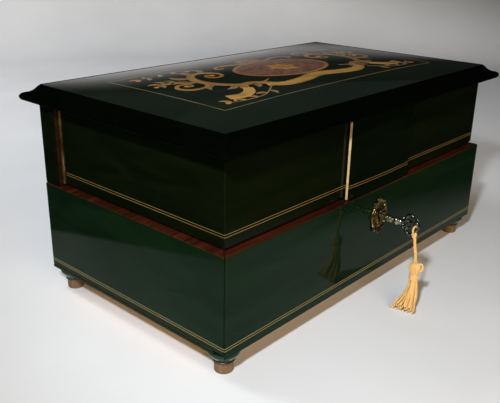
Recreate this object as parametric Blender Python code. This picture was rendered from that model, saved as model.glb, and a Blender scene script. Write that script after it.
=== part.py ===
"""Inlaid musical jewel box: a low base with a locked drawer, two swing-out wing compartments,
a bowed middle panel, a mirrored ogee-edged lid and a comb movement wound from below.

Units are metres, +Z is up, the front faces -Y. The floor is Z = 0.
"""
import math

import bmesh
import bpy
from mathutils import Matrix, Vector

for leftover in list(bpy.data.objects):
    bpy.data.objects.remove(leftover, do_unlink=True)

# Clearances shared by every piece
FIT = 0.0003            # between two pieces that touch
RUN = 0.0006            # between two pieces that slide on each other
EASE = 0.0005           # eased edge of a board

# Base case
CASE_W = 0.320
CASE_D = 0.178
BASE_H = 0.067
WALL = 0.009
BOTTOM_T = 0.0024
DECK_T = 0.006
PARTITION_T = 0.004
FOOT_H = 0.016
FOOT_INSET = 0.011
COLLAR_R = 0.0104
COLLAR_H = 0.0084
PAD_R = 0.0060

# Upper section
UPPER_H = 0.0584
LEDGE = 0.0048
WING_LIFT = 0.0024
WING_T = 0.009
POST_L = 0.015
POST_IN = 0.0005
PANEL_W = 0.078
PANEL_STAND = 0.0036
PANEL_BOW = 0.0009
LIPPING_T = 0.002
WELL_HALF_W = 0.046
WELL_WALL = 0.004
WELL_H = 0.0525
DIVIDER_CLEAR = 0.0055
BIN_H = 0.040
BIN_FLOOR = 0.003
BIN_WALL = 0.004
BIN_BACK_CLEAR = 0.006
FELT = 0.0012

# Drawer
DRAWER_DEPTH = 0.086
DRAWER_SIDE = 0.006
DRAWER_FLOOR = 0.003
DRAWER_CLEAR = 0.006
DRAWER_FLOOR_UP = 0.002

# Lock, escutcheon and key
KEY_UP = 0.0465
LOCK_W = 0.032
LOCK_H = 0.024
LOCK_T = 0.0085
LOCK_SKIN = 0.0009
BOLT_W = 0.012
BOLT_T = 0.002
BOLT_H = 0.019
BOLT_THROW = 0.0045
STRIKE_T = 0.001
BIT_R = 0.006
SHANK_R = 0.0017
SHANK_REACH = 0.0175
BOW_REACH = 0.0165
BOW_T = 0.0022
BOW_WALL = 0.0016
# Turnings of the key's stem: share of the shank's radius, share of its reach
STEM_TURNINGS = ((1.0, 0.31), (1.53, 0.35), (1.53, 0.43), (1.0, 0.47), (1.47, 0.51), (1.47, 0.57),
                 (0.88, 0.62), (1.65, 0.73), (1.70, 0.83), (1.12, 0.955), (0.88, 1.07))
ESCUTCHEON_W = 0.0195
ESCUTCHEON_H = 0.030
ESCUTCHEON_T = 0.0014
STRIKE_HALF_W = 0.015
CORD_HOLE_R = 0.0019
CORD_D = 0.0014
TASSEL_TOP = 0.0348
TASSEL_OUT = 0.0031

# Lid
LID_NOSE = 0.0075
LID_NOSE_BACK = 0.0131
MOULDING_W = 0.0115
LID_CORNER_R = 0.0012
REBATE_CORNER_R = 0.0008
LID_H = 0.0112
LID_CROWN = 0.0048
CROWN_POWER = 2.4
CROWN_RINGS = (1.0, 0.97, 0.92, 0.84, 0.74, 0.6, 0.44, 0.26, 0.1)
# Ogee moulding: share of its width in from the nose, share of the lid's height
MOULDING = ((0.24, 0.0), (0.07, 0.06), (0.0, 0.2), (0.04, 0.36), (0.16, 0.46), (0.34, 0.51), (0.52, 0.58),
            (0.68, 0.70), (0.82, 0.86), (0.92, 0.96), (1.0, 1.0))
PANEL_REBATE = 0.003
MIRROR_REBATE_IN = 0.019
LID_LIP_IN = 0.022
LID_LIP_T = 0.002
MIRROR_T = 0.003

# Hinges
KNUCKLE_R = 0.002
HINGE_PIN_R = 0.0008
LEAF_T = 0.001
LEAF_DEPTH = 0.0085
WING_KNUCKLES = 4
LID_HINGE_L = 0.230
LID_KNUCKLES = 9

# Musical movement
BED_W = 0.084
BED_D = 0.060
BED_T = 0.003
BED_UP = 0.003
BED_BACK_CLEAR = 0.0075
BARREL_R = 0.0125
BARREL_H = 0.014
BARREL_X = -0.029
ARBOR_R = 0.0018
WIND_KEY_H = 0.0085
WIND_KEY_W = 0.026
AXLE_UP = 0.010
CYL_FROM_BED = 0.0315
CYL_R = 0.0065
CYL_X0 = -0.012
CYL_L = 0.034
AXLE_R = 0.001
MODULE = 0.00055
WHEEL_MODULE = 0.0005
CYL_TEETH = 32
PINION_TEETH = 8
WHEEL_TEETH = 30
GEAR_T = 0.002
WHEEL_T = 0.0012
BRACKET_T = 0.002
WORM_R = 0.0013
FAN_R = 0.007
FAN_H = 0.006
COMB_TEETH = 18
COMB_T = 0.0014
COMB_L = 0.015
COVER_T = 0.002
COVER_DOWN = 0.012
CLEAT_T = 0.0032
STOP_ROD_R = 0.001
STOP_ROD_X = 0.040

# Levels and places that follow from the sizes above
HALF_W = CASE_W / 2
HALF_D = CASE_D / 2
BASE_Z = FOOT_H
BASE_TOP = BASE_Z + BASE_H
KEY_Z = BASE_Z + KEY_UP
DECK_Z = BASE_TOP - DECK_T
FLOOR_TOP = BASE_Z + BOTTOM_T
LID_Z = BASE_TOP + UPPER_H
INNER_W = HALF_W - WALL
INNER_D = HALF_D - WALL
UP_X = HALF_W - LEDGE
UP_FRONT = -(HALF_D - LEDGE)
WING_Z = BASE_TOP + WING_LIFT
WING_TOP = LID_Z - 0.0008
WING_HINGE_L = WING_TOP - WING_Z - 0.001
LEAF_GAP = KNUCKLE_R - LEAF_T
HINGE_HALF_GAP = KNUCKLE_R + FIT
HINGE_Y = HALF_D - POST_L - HINGE_HALF_GAP
HINGE_X = UP_X
LID_AXIS_Y = HALF_D + KNUCKLE_R + FIT
LID_AXIS_Z = LID_Z - FIT - KNUCKLE_R
PANEL_FRONT = UP_FRONT - PANEL_STAND
LOCK_TOP = DECK_Z - 0.0014
LOCK_BACK = -INNER_D + FIT + LOCK_T
BOLT_Y = (LOCK_BACK - LOCK_SKIN - FIT - BOLT_T, LOCK_BACK - LOCK_SKIN - FIT)
PARTITION_Y = -INNER_D + DRAWER_DEPTH + 0.004
KEY_END = -HALF_D - ESCUTCHEON_T - SHANK_REACH - BOW_REACH + 0.0014
WELL_TOP = BASE_TOP + WELL_H
BED_Z = BASE_TOP + FIT + BED_UP
BED_TOP = BED_Z + BED_T
BED_FRONT = HALF_D - WING_T - BED_BACK_CLEAR - BED_D
CYL_Y = BED_FRONT + CYL_FROM_BED
DIVIDER_Y = BED_FRONT - DIVIDER_CLEAR
BARREL_Y = BED_FRONT + BED_D - BARREL_R - 0.0075
AXLE_Z = BED_TOP + AXLE_UP
PITCH_SUM = MODULE * (CYL_TEETH + PINION_TEETH) / 2
WHEEL_Y = CYL_Y + PITCH_SUM + 0.00015
GEAR_X = CYL_X0 + CYL_L + 0.0005
WHEEL_X = GEAR_X + GEAR_T + 0.0015
WHEEL_TIP_R = WHEEL_MODULE * (WHEEL_TEETH / 2 + 0.8)
WORM_X = WHEEL_X + WHEEL_T / 2
WORM_Y = WHEEL_Y + WHEEL_TIP_R + FIT + WORM_R
FAN_Z = AXLE_Z + WHEEL_TIP_R + 0.0045
COVER_Z = WELL_TOP - COVER_DOWN
LID_BACK = HALF_D + LID_NOSE_BACK
LID_MID_Y = (LID_NOSE_BACK - LID_NOSE) / 2
LID_HALF_W = HALF_W + LID_NOSE
LID_HALF_D = HALF_D + (LID_NOSE + LID_NOSE_BACK) / 2
# The whole box is moved so that its origin is the middle of its footprint, key included
SHIFT_Y = -(LID_BACK + KEY_END) / 2

SEGMENTS = 24
SMALL_SEGMENTS = 12


def finish(name, color, roughness, metallic=0.0, coat=0.0, transmission=0.0):
    """Principled material of one colour."""
    material = bpy.data.materials.new(name)
    material.use_nodes = True
    shader = material.node_tree.nodes["Principled BSDF"]
    shader.inputs["Base Color"].default_value = (*color, 1.0)
    shader.inputs["Roughness"].default_value = roughness
    shader.inputs["Metallic"].default_value = metallic
    shader.inputs["Coat Weight"].default_value = coat
    shader.inputs["Transmission Weight"].default_value = transmission
    material.diffuse_color = (*color, 1.0)
    return material


def finishes():
    """One material for each kind of surface on the box."""
    return {
        "green": finish("green_lacquer", (0.022, 0.055, 0.036), 0.08, coat=1.0),
        "black": finish("black_lacquer", (0.006, 0.008, 0.006), 0.08, coat=1.0),
        "mahogany": finish("mahogany", (0.19, 0.052, 0.022), 0.22, coat=0.5),
        "maple": finish("pale_maple", (0.80, 0.66, 0.46), 0.35),
        "beech": finish("foot_pad", (0.56, 0.33, 0.22), 0.6),
        "brass": finish("brass", (0.80, 0.58, 0.24), 0.25, metallic=1.0),
        "nickel": finish("nickel", (0.62, 0.60, 0.56), 0.22, metallic=1.0),
        "steel": finish("steel", (0.55, 0.55, 0.56), 0.3, metallic=1.0),
        "zinc": finish("cast_bed", (0.60, 0.50, 0.28), 0.35, metallic=1.0),
        "felt": finish("red_felt", (0.26, 0.016, 0.020), 0.95),
        "cotton": finish("cream_cotton", (0.86, 0.74, 0.48), 0.8),
        "mirror": finish("mirror", (0.85, 0.87, 0.87), 0.02, metallic=1.0),
        "clear": finish("clear_cover", (0.93, 0.96, 0.96), 0.05, transmission=1.0),
    }


# Axis empties: a moving piece has its origin on the empty of its body
AXES = {}


def axis(body, place, parent=None):
    """Empty on a joint's axis, at a place in the case's own frame."""
    empty = bpy.data.objects.new(body + "_axis", None)
    bpy.context.scene.collection.objects.link(empty)
    place = Vector(place)
    if parent:
        empty.parent = AXES[parent][0]
        empty.location = place - AXES[parent][1]
    else:
        empty.location = place + Vector((0, SHIFT_Y, 0))
    AXES[body] = (empty, place)


def add(name, shape, material, body="case", smooth=False):
    """Turn a bmesh, drawn in the case's frame, into the named object of a body."""
    empty, place = AXES[body]
    bmesh.ops.remove_doubles(shape, verts=shape.verts, dist=1e-6)
    bmesh.ops.recalc_face_normals(shape, faces=shape.faces)
    bmesh.ops.translate(shape, verts=shape.verts, vec=-place)
    mesh = bpy.data.meshes.new(name)
    shape.to_mesh(mesh)
    shape.free()
    mesh.materials.append(material)
    if smooth:
        mesh.shade_smooth()
        mesh.set_sharp_from_angle(angle=math.radians(35))
    piece = bpy.data.objects.new(name, mesh)
    bpy.context.scene.collection.objects.link(piece)
    piece.parent = empty
    return piece


def ease(piece, width=EASE, segments=1, angle=50):
    """Ease the sharp edges of a piece."""
    bevel = piece.modifiers.new("eased_edges", "BEVEL")
    bevel.width = width
    bevel.segments = segments
    bevel.limit_method = "ANGLE"
    bevel.angle_limit = math.radians(angle)
    return piece


def combine(piece, tool_name, shape, operation, body="case"):
    """Join a shape to a piece or cut it out, with a hidden tool object."""
    tool = add(tool_name, shape, piece.data.materials[0], body)
    tool.hide_render = True
    tool.display_type = "WIRE"
    boolean = piece.modifiers.new(tool_name, "BOOLEAN")
    boolean.operation = operation
    boolean.object = tool
    return piece


def cut(piece, tool_name, shape, body="case"):
    """Cut a shape out of a piece."""
    return combine(piece, tool_name, shape, "DIFFERENCE", body)


def join(piece, tool_name, shape, body="case"):
    """Unite a shape with a piece."""
    return combine(piece, tool_name, shape, "UNION", body)


def block(x, y, z, shape=None):
    """Box between pairs of limits, added to a bmesh."""
    shape = shape or bmesh.new()
    size = Vector((x[1] - x[0], y[1] - y[0], z[1] - z[0]))
    middle = Vector((x[0] + x[1], y[0] + y[1], z[0] + z[1])) / 2
    matrix = Matrix.Translation(middle) @ Matrix.Diagonal((*size, 1.0))
    bmesh.ops.create_cube(shape, size=1.0, matrix=matrix)
    return shape


def prism(outline, low, high, along="Z", shape=None):
    """Closed outline extruded along an axis: (x, y) for Z, (y, z) for X, (x, z) for Y."""
    shape = shape or bmesh.new()
    place = {"Z": lambda a, b: (a, b, low), "X": lambda a, b: (low, a, b), "Y": lambda a, b: (a, low, b)}[along]
    way = {"Z": Vector((0, 0, 1)), "X": Vector((1, 0, 0)), "Y": Vector((0, 1, 0))}[along]
    face = shape.faces.new([shape.verts.new(place(a, b)) for a, b in outline])
    grown = bmesh.ops.extrude_face_region(shape, geom=[face])
    moved = [item for item in grown["geom"] if isinstance(item, bmesh.types.BMVert)]
    bmesh.ops.translate(shape, verts=moved, vec=way * (high - low))
    return shape


def turned(profile, centre, along="Z", segments=SEGMENTS, closed=False, shape=None):
    """Turned shape: (radius, height) points spun about an axis through the centre."""
    part = bmesh.new()
    verts = [part.verts.new((radius, 0, height)) for radius, height in profile]
    pairs = list(zip(verts, verts[1:]))
    if closed:
        pairs.append((verts[-1], verts[0]))
    edges = [part.edges.new(pair) for pair in pairs]
    bmesh.ops.spin(part, geom=verts + edges, cent=(0, 0, 0), axis=(0, 0, 1), angle=math.tau, steps=segments)
    bmesh.ops.remove_doubles(part, verts=part.verts, dist=1e-7)
    turn = {"Z": Matrix(), "X": Matrix.Rotation(math.pi / 2, 4, "Y"), "Y": Matrix.Rotation(-math.pi / 2, 4, "X")}
    return put(shape or bmesh.new(), part, Matrix.Translation(centre) @ turn[along])


def rod(radius, low, high, centre, along="Z", segments=SMALL_SEGMENTS, shape=None):
    """Plain round rod between two heights along an axis."""
    return turned([(0, low), (radius, low), (radius, high), (0, high)], centre, along, segments, shape=shape)


def put(shape, part, matrix):
    """Move a part by a matrix and add it to a shape."""
    bmesh.ops.recalc_face_normals(part, faces=part.faces)
    bmesh.ops.transform(part, matrix=matrix, verts=part.verts)
    holder = bpy.data.meshes.new("holder")
    part.to_mesh(holder)
    part.free()
    shape.from_mesh(holder)
    bpy.data.meshes.remove(holder)
    return shape


def loft(rings, shape=None, closed=False):
    """Skin through rings of equal point count; open ends are capped unless the rings close."""
    shape = shape or bmesh.new()
    loops = [[shape.verts.new(point) for point in ring] for ring in rings]
    count = len(loops[0])
    pairs = list(zip(loops, loops[1:]))
    if closed:
        pairs.append((loops[-1], loops[0]))
    for below, above in pairs:
        for i in range(count):
            j = (i + 1) % count
            shape.faces.new((below[i], below[j], above[j], above[i]))
    if not closed:
        shape.faces.new(list(reversed(loops[0])))
        shape.faces.new(loops[-1])
    return shape


def rounded_rectangle(half_x, half_y, radius, z, middle=0.0, steps=4):
    """Ring of points round a rectangle with round corners, its middle at a place along Y."""
    ring = []
    for corner in range(4):
        start = corner * math.pi / 2
        mid_x = (half_x - radius) * (1 if corner in (0, 3) else -1)
        mid_y = middle + (half_y - radius) * (1 if corner < 2 else -1)
        for step in range(steps + 1):
            angle = start + step / steps * math.pi / 2
            ring.append((mid_x + radius * math.cos(angle), mid_y + radius * math.sin(angle), z))
    return ring


def gear_outline(teeth, module, centre):
    """Outline of a gear with tapered teeth, slim enough to run with backlash."""
    pitch_r = teeth * module / 2
    tip = pitch_r + 0.8 * module
    root = pitch_r - 1.25 * module
    pitch_angle = math.tau / teeth
    points = []
    for tooth in range(teeth):
        middle = tooth * pitch_angle
        for radius, share in ((root, -0.30), (tip, -0.12), (tip, 0.12), (root, 0.30)):
            angle = middle + share * pitch_angle
            points.append((centre[0] + radius * math.cos(angle), centre[1] + radius * math.sin(angle)))
    return points


def mirrored(side, a, b):
    """Pair of x limits on the left (-1) or the right (+1) side, low value first."""
    return tuple(sorted((side * a, side * b)))


def base_case(look):
    """Sides, back, bottom, deck and inner partition of the base."""
    mitre = FIT * math.sqrt(2)
    side_z = FLOOR_TOP + FIT
    for side, name in ((-1, "case_side_left"), (1, "case_side_right")):
        outline = [(side * HALF_W, -HALF_D + mitre), (side * INNER_W, -INNER_D + mitre),
                   (side * INNER_W, HALF_D), (side * HALF_W, HALF_D)]
        ease(add(name, prism(outline, side_z, BASE_TOP), look["green"]))
    inner = (-INNER_W + FIT, INNER_W - FIT)
    ease(add("case_back", block(inner, (INNER_D, HALF_D), (side_z, BASE_TOP)), look["green"]))
    bottom = block((-HALF_W, HALF_W), (-INNER_D + FIT, HALF_D), (BASE_Z, FLOOR_TOP))
    bottom = ease(add("case_bottom", bottom, look["mahogany"]), EASE / 2)
    bush_hole = rod(ARBOR_R + 2 * FIT + 0.0025, BASE_Z - 0.01, FLOOR_TOP + 0.01, (BARREL_X, BARREL_Y, 0))
    cut(bottom, "bush_hole", bush_hole)
    deck = block(inner, (-INNER_D + FIT, INNER_D - FIT), (DECK_Z, BASE_TOP))
    deck = ease(add("case_deck", deck, look["mahogany"]), EASE / 2)
    cut(deck, "bolt_pocket", block((-BOLT_W / 2 - 0.001, BOLT_W / 2 + 0.001),
                                   (BOLT_Y[0] - 0.0008, BOLT_Y[1] + 0.0008), (DECK_Z - 0.001, DECK_Z + 0.0042)))
    cut(deck, "strike_seat", block((-STRIKE_HALF_W - FIT, STRIKE_HALF_W + FIT),
                                   (BOLT_Y[0] - 0.0028, BOLT_Y[1] + 0.0028),
                                   (DECK_Z - 0.001, DECK_Z + STRIKE_T + FIT)))
    cut(deck, "arbor_hole", rod(ARBOR_R + 3 * FIT, DECK_Z - 0.01, BASE_TOP + 0.01, (BARREL_X, BARREL_Y, 0)))
    strike = block((-STRIKE_HALF_W, STRIKE_HALF_W), (BOLT_Y[0] - 0.0025, BOLT_Y[1] + 0.0025),
                   (DECK_Z, DECK_Z + STRIKE_T))
    strike = add("lock_strike", strike, look["brass"])
    cut(strike, "strike_slot", block((-BOLT_W / 2 - 0.0008, BOLT_W / 2 + 0.0008),
                                     (BOLT_Y[0] - 0.0006, BOLT_Y[1] + 0.0006),
                                     (DECK_Z - 0.01, DECK_Z + 0.01)))
    partition = block(inner, (PARTITION_Y, PARTITION_Y + PARTITION_T), (FLOOR_TOP + FIT, DECK_Z - FIT))
    add("base_partition", partition, look["mahogany"])


def feet(look):
    """Four turned feet: a collar, a thin ring and a round pad."""
    collar_z = FOOT_H - FIT
    low = FOOT_H - FIT - COLLAR_H
    profile = [(0, 0), (PAD_R - 0.0005, 0), (PAD_R, 0.0005), (PAD_R, low), (PAD_R + 0.0006, low),
               (PAD_R + 0.0010, low + 0.0007), (PAD_R + 0.0006, low + 0.0014),
               (PAD_R + 0.0012, low + 0.0024), (COLLAR_R * 0.86, low + 0.0046), (COLLAR_R, low + 0.0068),
               (COLLAR_R * 0.97, collar_z), (0, collar_z)]
    for name, side, end in (("front_left", -1, -1), ("front_right", 1, -1),
                            ("back_left", -1, 1), ("back_right", 1, 1)):
        place = (side * (HALF_W - FOOT_INSET), end * (HALF_D - FOOT_INSET), 0)
        add("foot_" + name, turned(profile, place), look["green"], smooth=True)


def drawer(look):
    """Mitred front, box, felt lining, lock and bolt of the drawer."""
    outline = [(-HALF_W, -HALF_D), (HALF_W, -HALF_D), (INNER_W, -INNER_D), (-INNER_W, -INNER_D)]
    front = ease(add("drawer_front", prism(outline, BASE_Z, BASE_TOP), look["green"], "drawer"))
    cut(front, "key_hole", rod(SHANK_R + 2 * FIT, -HALF_D - 0.01, -INNER_D + 0.01, (0, 0, KEY_Z), "Y"), "drawer")
    cut(front, "bit_slot", block((-0.0011, 0.0011), (-HALF_D - 0.01, -INNER_D + 0.01),
                                 (KEY_Z - BIT_R - FIT, KEY_Z - 0.001)), "drawer")
    z = (FLOOR_TOP + RUN, DECK_Z - DRAWER_CLEAR)
    y = (-INNER_D + FIT, -INNER_D + DRAWER_DEPTH)
    outer_x = INNER_W - RUN
    inner_x = outer_x - DRAWER_SIDE
    for side, name in ((-1, "drawer_side_left"), (1, "drawer_side_right")):
        ease(add(name, block(mirrored(side, inner_x, outer_x), y, z), look["mahogany"], "drawer"))
    back_y = (y[1] - DRAWER_SIDE, y[1])
    floor_x = (-inner_x + FIT, inner_x - FIT)
    floor_z = (z[0] + DRAWER_FLOOR_UP, z[0] + DRAWER_FLOOR_UP + DRAWER_FLOOR)
    ease(add("drawer_back", block(floor_x, back_y, (floor_z[1] + FIT, z[1])), look["mahogany"], "drawer"))
    add("drawer_bottom", block(floor_x, y, floor_z), look["mahogany"], "drawer")
    tray_y = (LOCK_BACK + FIT, back_y[0] - FIT)
    tray = block((floor_x[0], floor_x[1]), tray_y, (floor_z[1] + FIT, z[1] - 0.006))
    tray = add("drawer_lining", tray, look["felt"], "drawer")
    cut(tray, "drawer_hollow", block((floor_x[0] + FELT, floor_x[1] - FELT),
                                     (tray_y[0] + FELT, tray_y[1] - FELT),
                                     (floor_z[1] + FIT + FELT, z[1] + 0.01)), "drawer")
    lock_y = (-INNER_D + FIT, LOCK_BACK)
    case = block((-LOCK_W / 2, LOCK_W / 2), lock_y, (LOCK_TOP - LOCK_H, LOCK_TOP))
    case = ease(add("lock_case", case, look["brass"], "drawer"))
    cut(case, "bit_room", rod(BIT_R + 2 * FIT, lock_y[0] - 0.01, BOLT_Y[0] - 2 * FIT, (0, 0, KEY_Z), "Y",
                              SEGMENTS), "drawer")
    cut(case, "bolt_room", block((-BOLT_W / 2 - FIT, BOLT_W / 2 + FIT), (BOLT_Y[0] - FIT, BOLT_Y[1] + FIT),
                                 (LOCK_TOP - BOLT_H - 2 * FIT, LOCK_TOP + 0.01)), "drawer")
    bolt = block((-BOLT_W / 2, BOLT_W / 2), BOLT_Y, (LOCK_TOP - BOLT_H, LOCK_TOP))
    add("lock_bolt", bolt, look["steel"], "bolt")


def escutcheon(look):
    """Scalloped brass plate with its key hole and two round pins."""
    count = 48
    outline = []
    for step in range(count):
        angle = step / count * math.tau
        lobe = 1 + 0.055 * math.cos(8 * angle) + 0.05 * math.cos(2 * angle)
        x = ESCUTCHEON_W / 2 * 0.95 * lobe * math.cos(angle)
        z = ESCUTCHEON_H / 2 * 0.95 * lobe * math.sin(angle)
        outline.append((x, KEY_Z + z))
    back = -HALF_D - FIT
    plate = add("escutcheon", prism(outline, back - ESCUTCHEON_T, back, "Y"), look["brass"], "drawer")
    ease(plate, 0.0004, 1, 60)
    hole = rod(SHANK_R + 2 * FIT, back - 0.01, back + 0.001, (0, 0, KEY_Z), "Y")
    cut(plate, "plate_key_hole", hole, "drawer")
    cut(plate, "plate_bit_slot", block((-0.0011, 0.0011), (back - 0.01, back + 0.001),
                                       (KEY_Z - BIT_R - FIT, KEY_Z - 0.001)), "drawer")


def bow_outline(discs, centre, count=56):
    """Outer edge of overlapping discs (y, z, radius), seen from a centre inside them all."""
    points = []
    for step in range(count):
        angle = step / count * math.tau
        reach = 0
        for y, z, radius in discs:
            dy, dz = y - centre[0], z - centre[1]
            distance = math.hypot(dy, dz)
            off = angle - math.atan2(dz, dy)
            inside = radius ** 2 - (distance * math.sin(off)) ** 2
            if inside > 0:
                reach = max(reach, distance * math.cos(off) + math.sqrt(inside))
        points.append((centre[0] + reach * math.cos(angle), centre[1] + reach * math.sin(angle)))
    return points


def key(look):
    """Key with a turned stem, a bit inside the lock and a pierced bow."""
    start = -HALF_D - ESCUTCHEON_T - FIT
    bow_start = start - SHANK_REACH
    tip = BOLT_Y[0] - 4 * FIT
    stem = [(0, tip), (SHANK_R, tip)]
    stem += [(SHANK_R * radius, start - SHANK_REACH * share) for radius, share in STEM_TURNINGS]
    stem.append((0, start - SHANK_REACH * STEM_TURNINGS[-1][1]))
    piece = add("key", turned(stem, (0, 0, KEY_Z), "Y", 16), look["nickel"], "key", smooth=True)
    bit = block((-0.0008, 0.0008), (tip + 0.0002, tip - 0.0034), (KEY_Z - BIT_R, KEY_Z - 0.0005))
    join(piece, "key_bit", bit, "key")
    middle = bow_start - BOW_REACH / 2
    side_hole, side_up = BOW_REACH * 0.14, BOW_REACH * 0.26
    holes = [(KEY_END + BOW_WALL + CORD_HOLE_R, KEY_Z, CORD_HOLE_R),
             (middle + side_hole / 2, KEY_Z + side_up, side_hole), (middle + side_hole / 2, KEY_Z - side_up, side_hole),
             (bow_start - BOW_REACH * 0.18, KEY_Z, BOW_REACH * 0.073)]
    discs = [(y, z, radius + BOW_WALL) for y, z, radius in holes] + [(middle, KEY_Z, BOW_REACH * 0.315)]
    plate = prism(bow_outline(discs, (middle, KEY_Z)), -BOW_T / 2, BOW_T / 2, "X")
    join(piece, "key_bow", plate, "key")
    for number, (y, z, radius) in enumerate(holes):
        cut(piece, "bow_hole_%d" % number, rod(radius, -BOW_T, BOW_T, (0, y, z), "X", 14), "key")


def smooth_route(points, spacing):
    """Points read at even steps from a smooth curve through the route's own points."""
    ends = [points[0] * 2 - points[1]] + list(points) + [points[-1] * 2 - points[-2]]
    fine = []
    for a, b, c, d in zip(ends, ends[1:], ends[2:], ends[3:]):
        for step in range(12):
            t = step / 12
            fine.append(0.5 * ((2 * b) + (c - a) * t + (2 * a - 5 * b + 4 * c - d) * t ** 2
                               + (3 * b - a - 3 * c + d) * t ** 3))
    fine.append(points[-1])
    lengths = [(b - a).length for a, b in zip(fine, fine[1:])]
    total = sum(lengths)
    count = max(2, round(total / spacing))
    route, walked, index = [fine[0]], 0.0, 0
    for number in range(1, count):
        target = total * number / count
        while walked + lengths[index] < target:
            walked += lengths[index]
            index += 1
        share = (target - walked) / lengths[index]
        route.append(fine[index].lerp(fine[index + 1], share))
    return route + [fine[-1]]


def tassel(look):
    """Doubled cord through the bow, and the tassel whose skirt lies partly on the floor."""
    hole_y = KEY_END + BOW_WALL + CORD_HOLE_R
    head_y = hole_y - TASSEL_OUT
    top = KEY_Z - CORD_HOLE_R + CORD_D / 2 + FIT + 0.0007
    side = BOW_T / 2 + CORD_D / 2 + 3 * FIT + 0.0004
    head_top = TASSEL_TOP + FIT
    rise = [(0.0009, head_y, head_top), (0.0010, head_y, head_top + 0.0020),
            (0.0014, head_y + TASSEL_OUT * 0.15, head_top + 0.0070),
            (0.0018, head_y + TASSEL_OUT * 0.5, head_top + 0.0120),
            (side - 0.0001, hole_y - TASSEL_OUT * 0.1, top - 0.0072), (side + 0.0001, hole_y, top - 0.0034),
            (side - 0.0005, hole_y, top - 0.0014), (BOW_T / 2 - 0.0002, hole_y, top - 0.0001)]
    route = [Vector(point) for point in rise] + [Vector((0, hole_y, top))]
    route += [Vector((-x, y, z)) for x, y, z in reversed(rise)]
    curve = bpy.data.curves.new("tassel_cord", "CURVE")
    curve.dimensions = "3D"
    curve.bevel_depth = CORD_D / 2
    curve.bevel_resolution = 2
    curve.use_fill_caps = True
    points = smooth_route(route, CORD_D * 1.9)
    spline = curve.splines.new("POLY")
    spline.points.add(len(points) - 1)
    empty, place = AXES["drawer"]
    for target, point in zip(spline.points, points):
        target.co = (*(point - place), 1.0)
    curve.materials.append(look["cotton"])
    cord = bpy.data.objects.new("tassel_cord", curve)
    bpy.context.scene.collection.objects.link(cord)
    cord.parent = empty

    count = 24
    sections = [  # centre x, y, z, half width, half height, lean from level, depth of the flutes
        (0, 0, TASSEL_TOP, 0.0016, 0.0016, 0, 0), (0, 0, TASSEL_TOP - 0.0010, 0.0029, 0.0029, 0, 0),
        (0, 0, TASSEL_TOP - 0.0034, 0.0038, 0.0038, 0, 0), (0, 0, TASSEL_TOP - 0.0070, 0.0038, 0.0038, 0, 0),
        (0, 0, TASSEL_TOP - 0.0100, 0.0032, 0.0032, 0, 0), (0, 0, TASSEL_TOP - 0.0112, 0.0026, 0.0026, 0, 0),
        (0, 0, TASSEL_TOP - 0.0125, 0.0034, 0.0034, 0, 0), (0, 0, TASSEL_TOP - 0.0160, 0.0034, 0.0034, 2, 0.04),
        (-0.0008, -0.0002, 0.0150, 0.0042, 0.0038, 8, 0.10), (-0.0028, -0.0006, 0.0105, 0.0058, 0.0041, 20, 0.12),
        (-0.0060, -0.0013, 0.0070, 0.0072, 0.0042, 40, 0.12), (-0.0095, -0.0020, 0.0047, 0.0085, 0.0036, 62, 0.12),
        (-0.0125, -0.0026, 0.0034, 0.0095, 0.0028, 80, 0.12)]
    heading = math.atan2(-0.0026, -0.0125)
    rings = []
    for x, y, z, wide, high, lean, flute in sections:
        tilt = math.radians(lean)
        out = Vector((math.cos(heading) * math.cos(tilt), math.sin(heading) * math.cos(tilt), math.sin(tilt)))
        across = Vector((-math.sin(heading), math.cos(heading), 0))
        centre = Vector((x, head_y + y, z))
        ring = []
        for step in range(count):
            angle = step / count * math.tau
            swell = 1 + flute * math.cos(12 * angle)
            ring.append(centre + across * (wide * swell * math.cos(angle)) + out * (high * swell * math.sin(angle)))
        rings.append(ring)
    add("tassel", loft(rings), look["cotton"], "drawer", smooth=True)


def hinge_half(name, matrix, length, knuckles, mine, side, look, body):
    """Leaf with its own knuckles. Local Z is the axis, local X runs into the joint, side is +1 or -1 in Y."""
    pitch = length / knuckles
    near, far = sorted((side * LEAF_GAP, side * (LEAF_GAP + LEAF_T)))
    leaf_x = (KNUCKLE_R + FIT, KNUCKLE_R + FIT + LEAF_DEPTH)
    inner = math.asin(LEAF_GAP / KNUCKLE_R)
    outer = math.pi / 2
    steps = 14
    outline = []
    for step in range(steps + 1):
        angle = outer + (math.tau + inner - outer) * step / steps
        outline.append((KNUCKLE_R * math.cos(angle), side * KNUCKLE_R * math.sin(angle)))
    outline += [(leaf_x[0] + 0.001, side * LEAF_GAP), (leaf_x[0] + 0.001, side * (LEAF_GAP + LEAF_T))]
    piece = add(name, put(bmesh.new(), block(leaf_x, (near, far), (0, length)), matrix), look["brass"], body,
                smooth=True)
    barrel = bmesh.new()
    for number in mine:
        low = number * pitch + (FIT / 2 if number else 0)
        high = (number + 1) * pitch - (FIT / 2 if number < knuckles - 1 else 0)
        put(barrel, prism(outline, low, high), matrix)
    join(piece, name + "_knuckles", barrel, body)
    bore = rod(HINGE_PIN_R + FIT, -0.01, length + 0.01, (0, 0, 0))
    cut(piece, name + "_bore", put(bmesh.new(), bore, matrix), body)


def hinge_pin(name, matrix, length, look):
    """Round pin with eased ends."""
    pin = turned([(0, 0), (HINGE_PIN_R * 0.7, 0), (HINGE_PIN_R, 0.0004), (HINGE_PIN_R, length - 0.0004),
                  (HINGE_PIN_R * 0.7, length), (0, length)], (0, 0, 0), segments=SMALL_SEGMENTS)
    return add(name, put(bmesh.new(), pin, matrix), look["brass"], smooth=True)


def wing_hinge_matrix(side):
    """Place of a wing's hinge: local Z up on the left, down on the right."""
    if side < 0:
        return Matrix.Translation((-HINGE_X, HINGE_Y, WING_Z))
    return Matrix.Translation((HINGE_X, HINGE_Y, WING_Z + WING_HINGE_L)) @ Matrix.Rotation(math.pi, 4, "Y")


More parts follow.
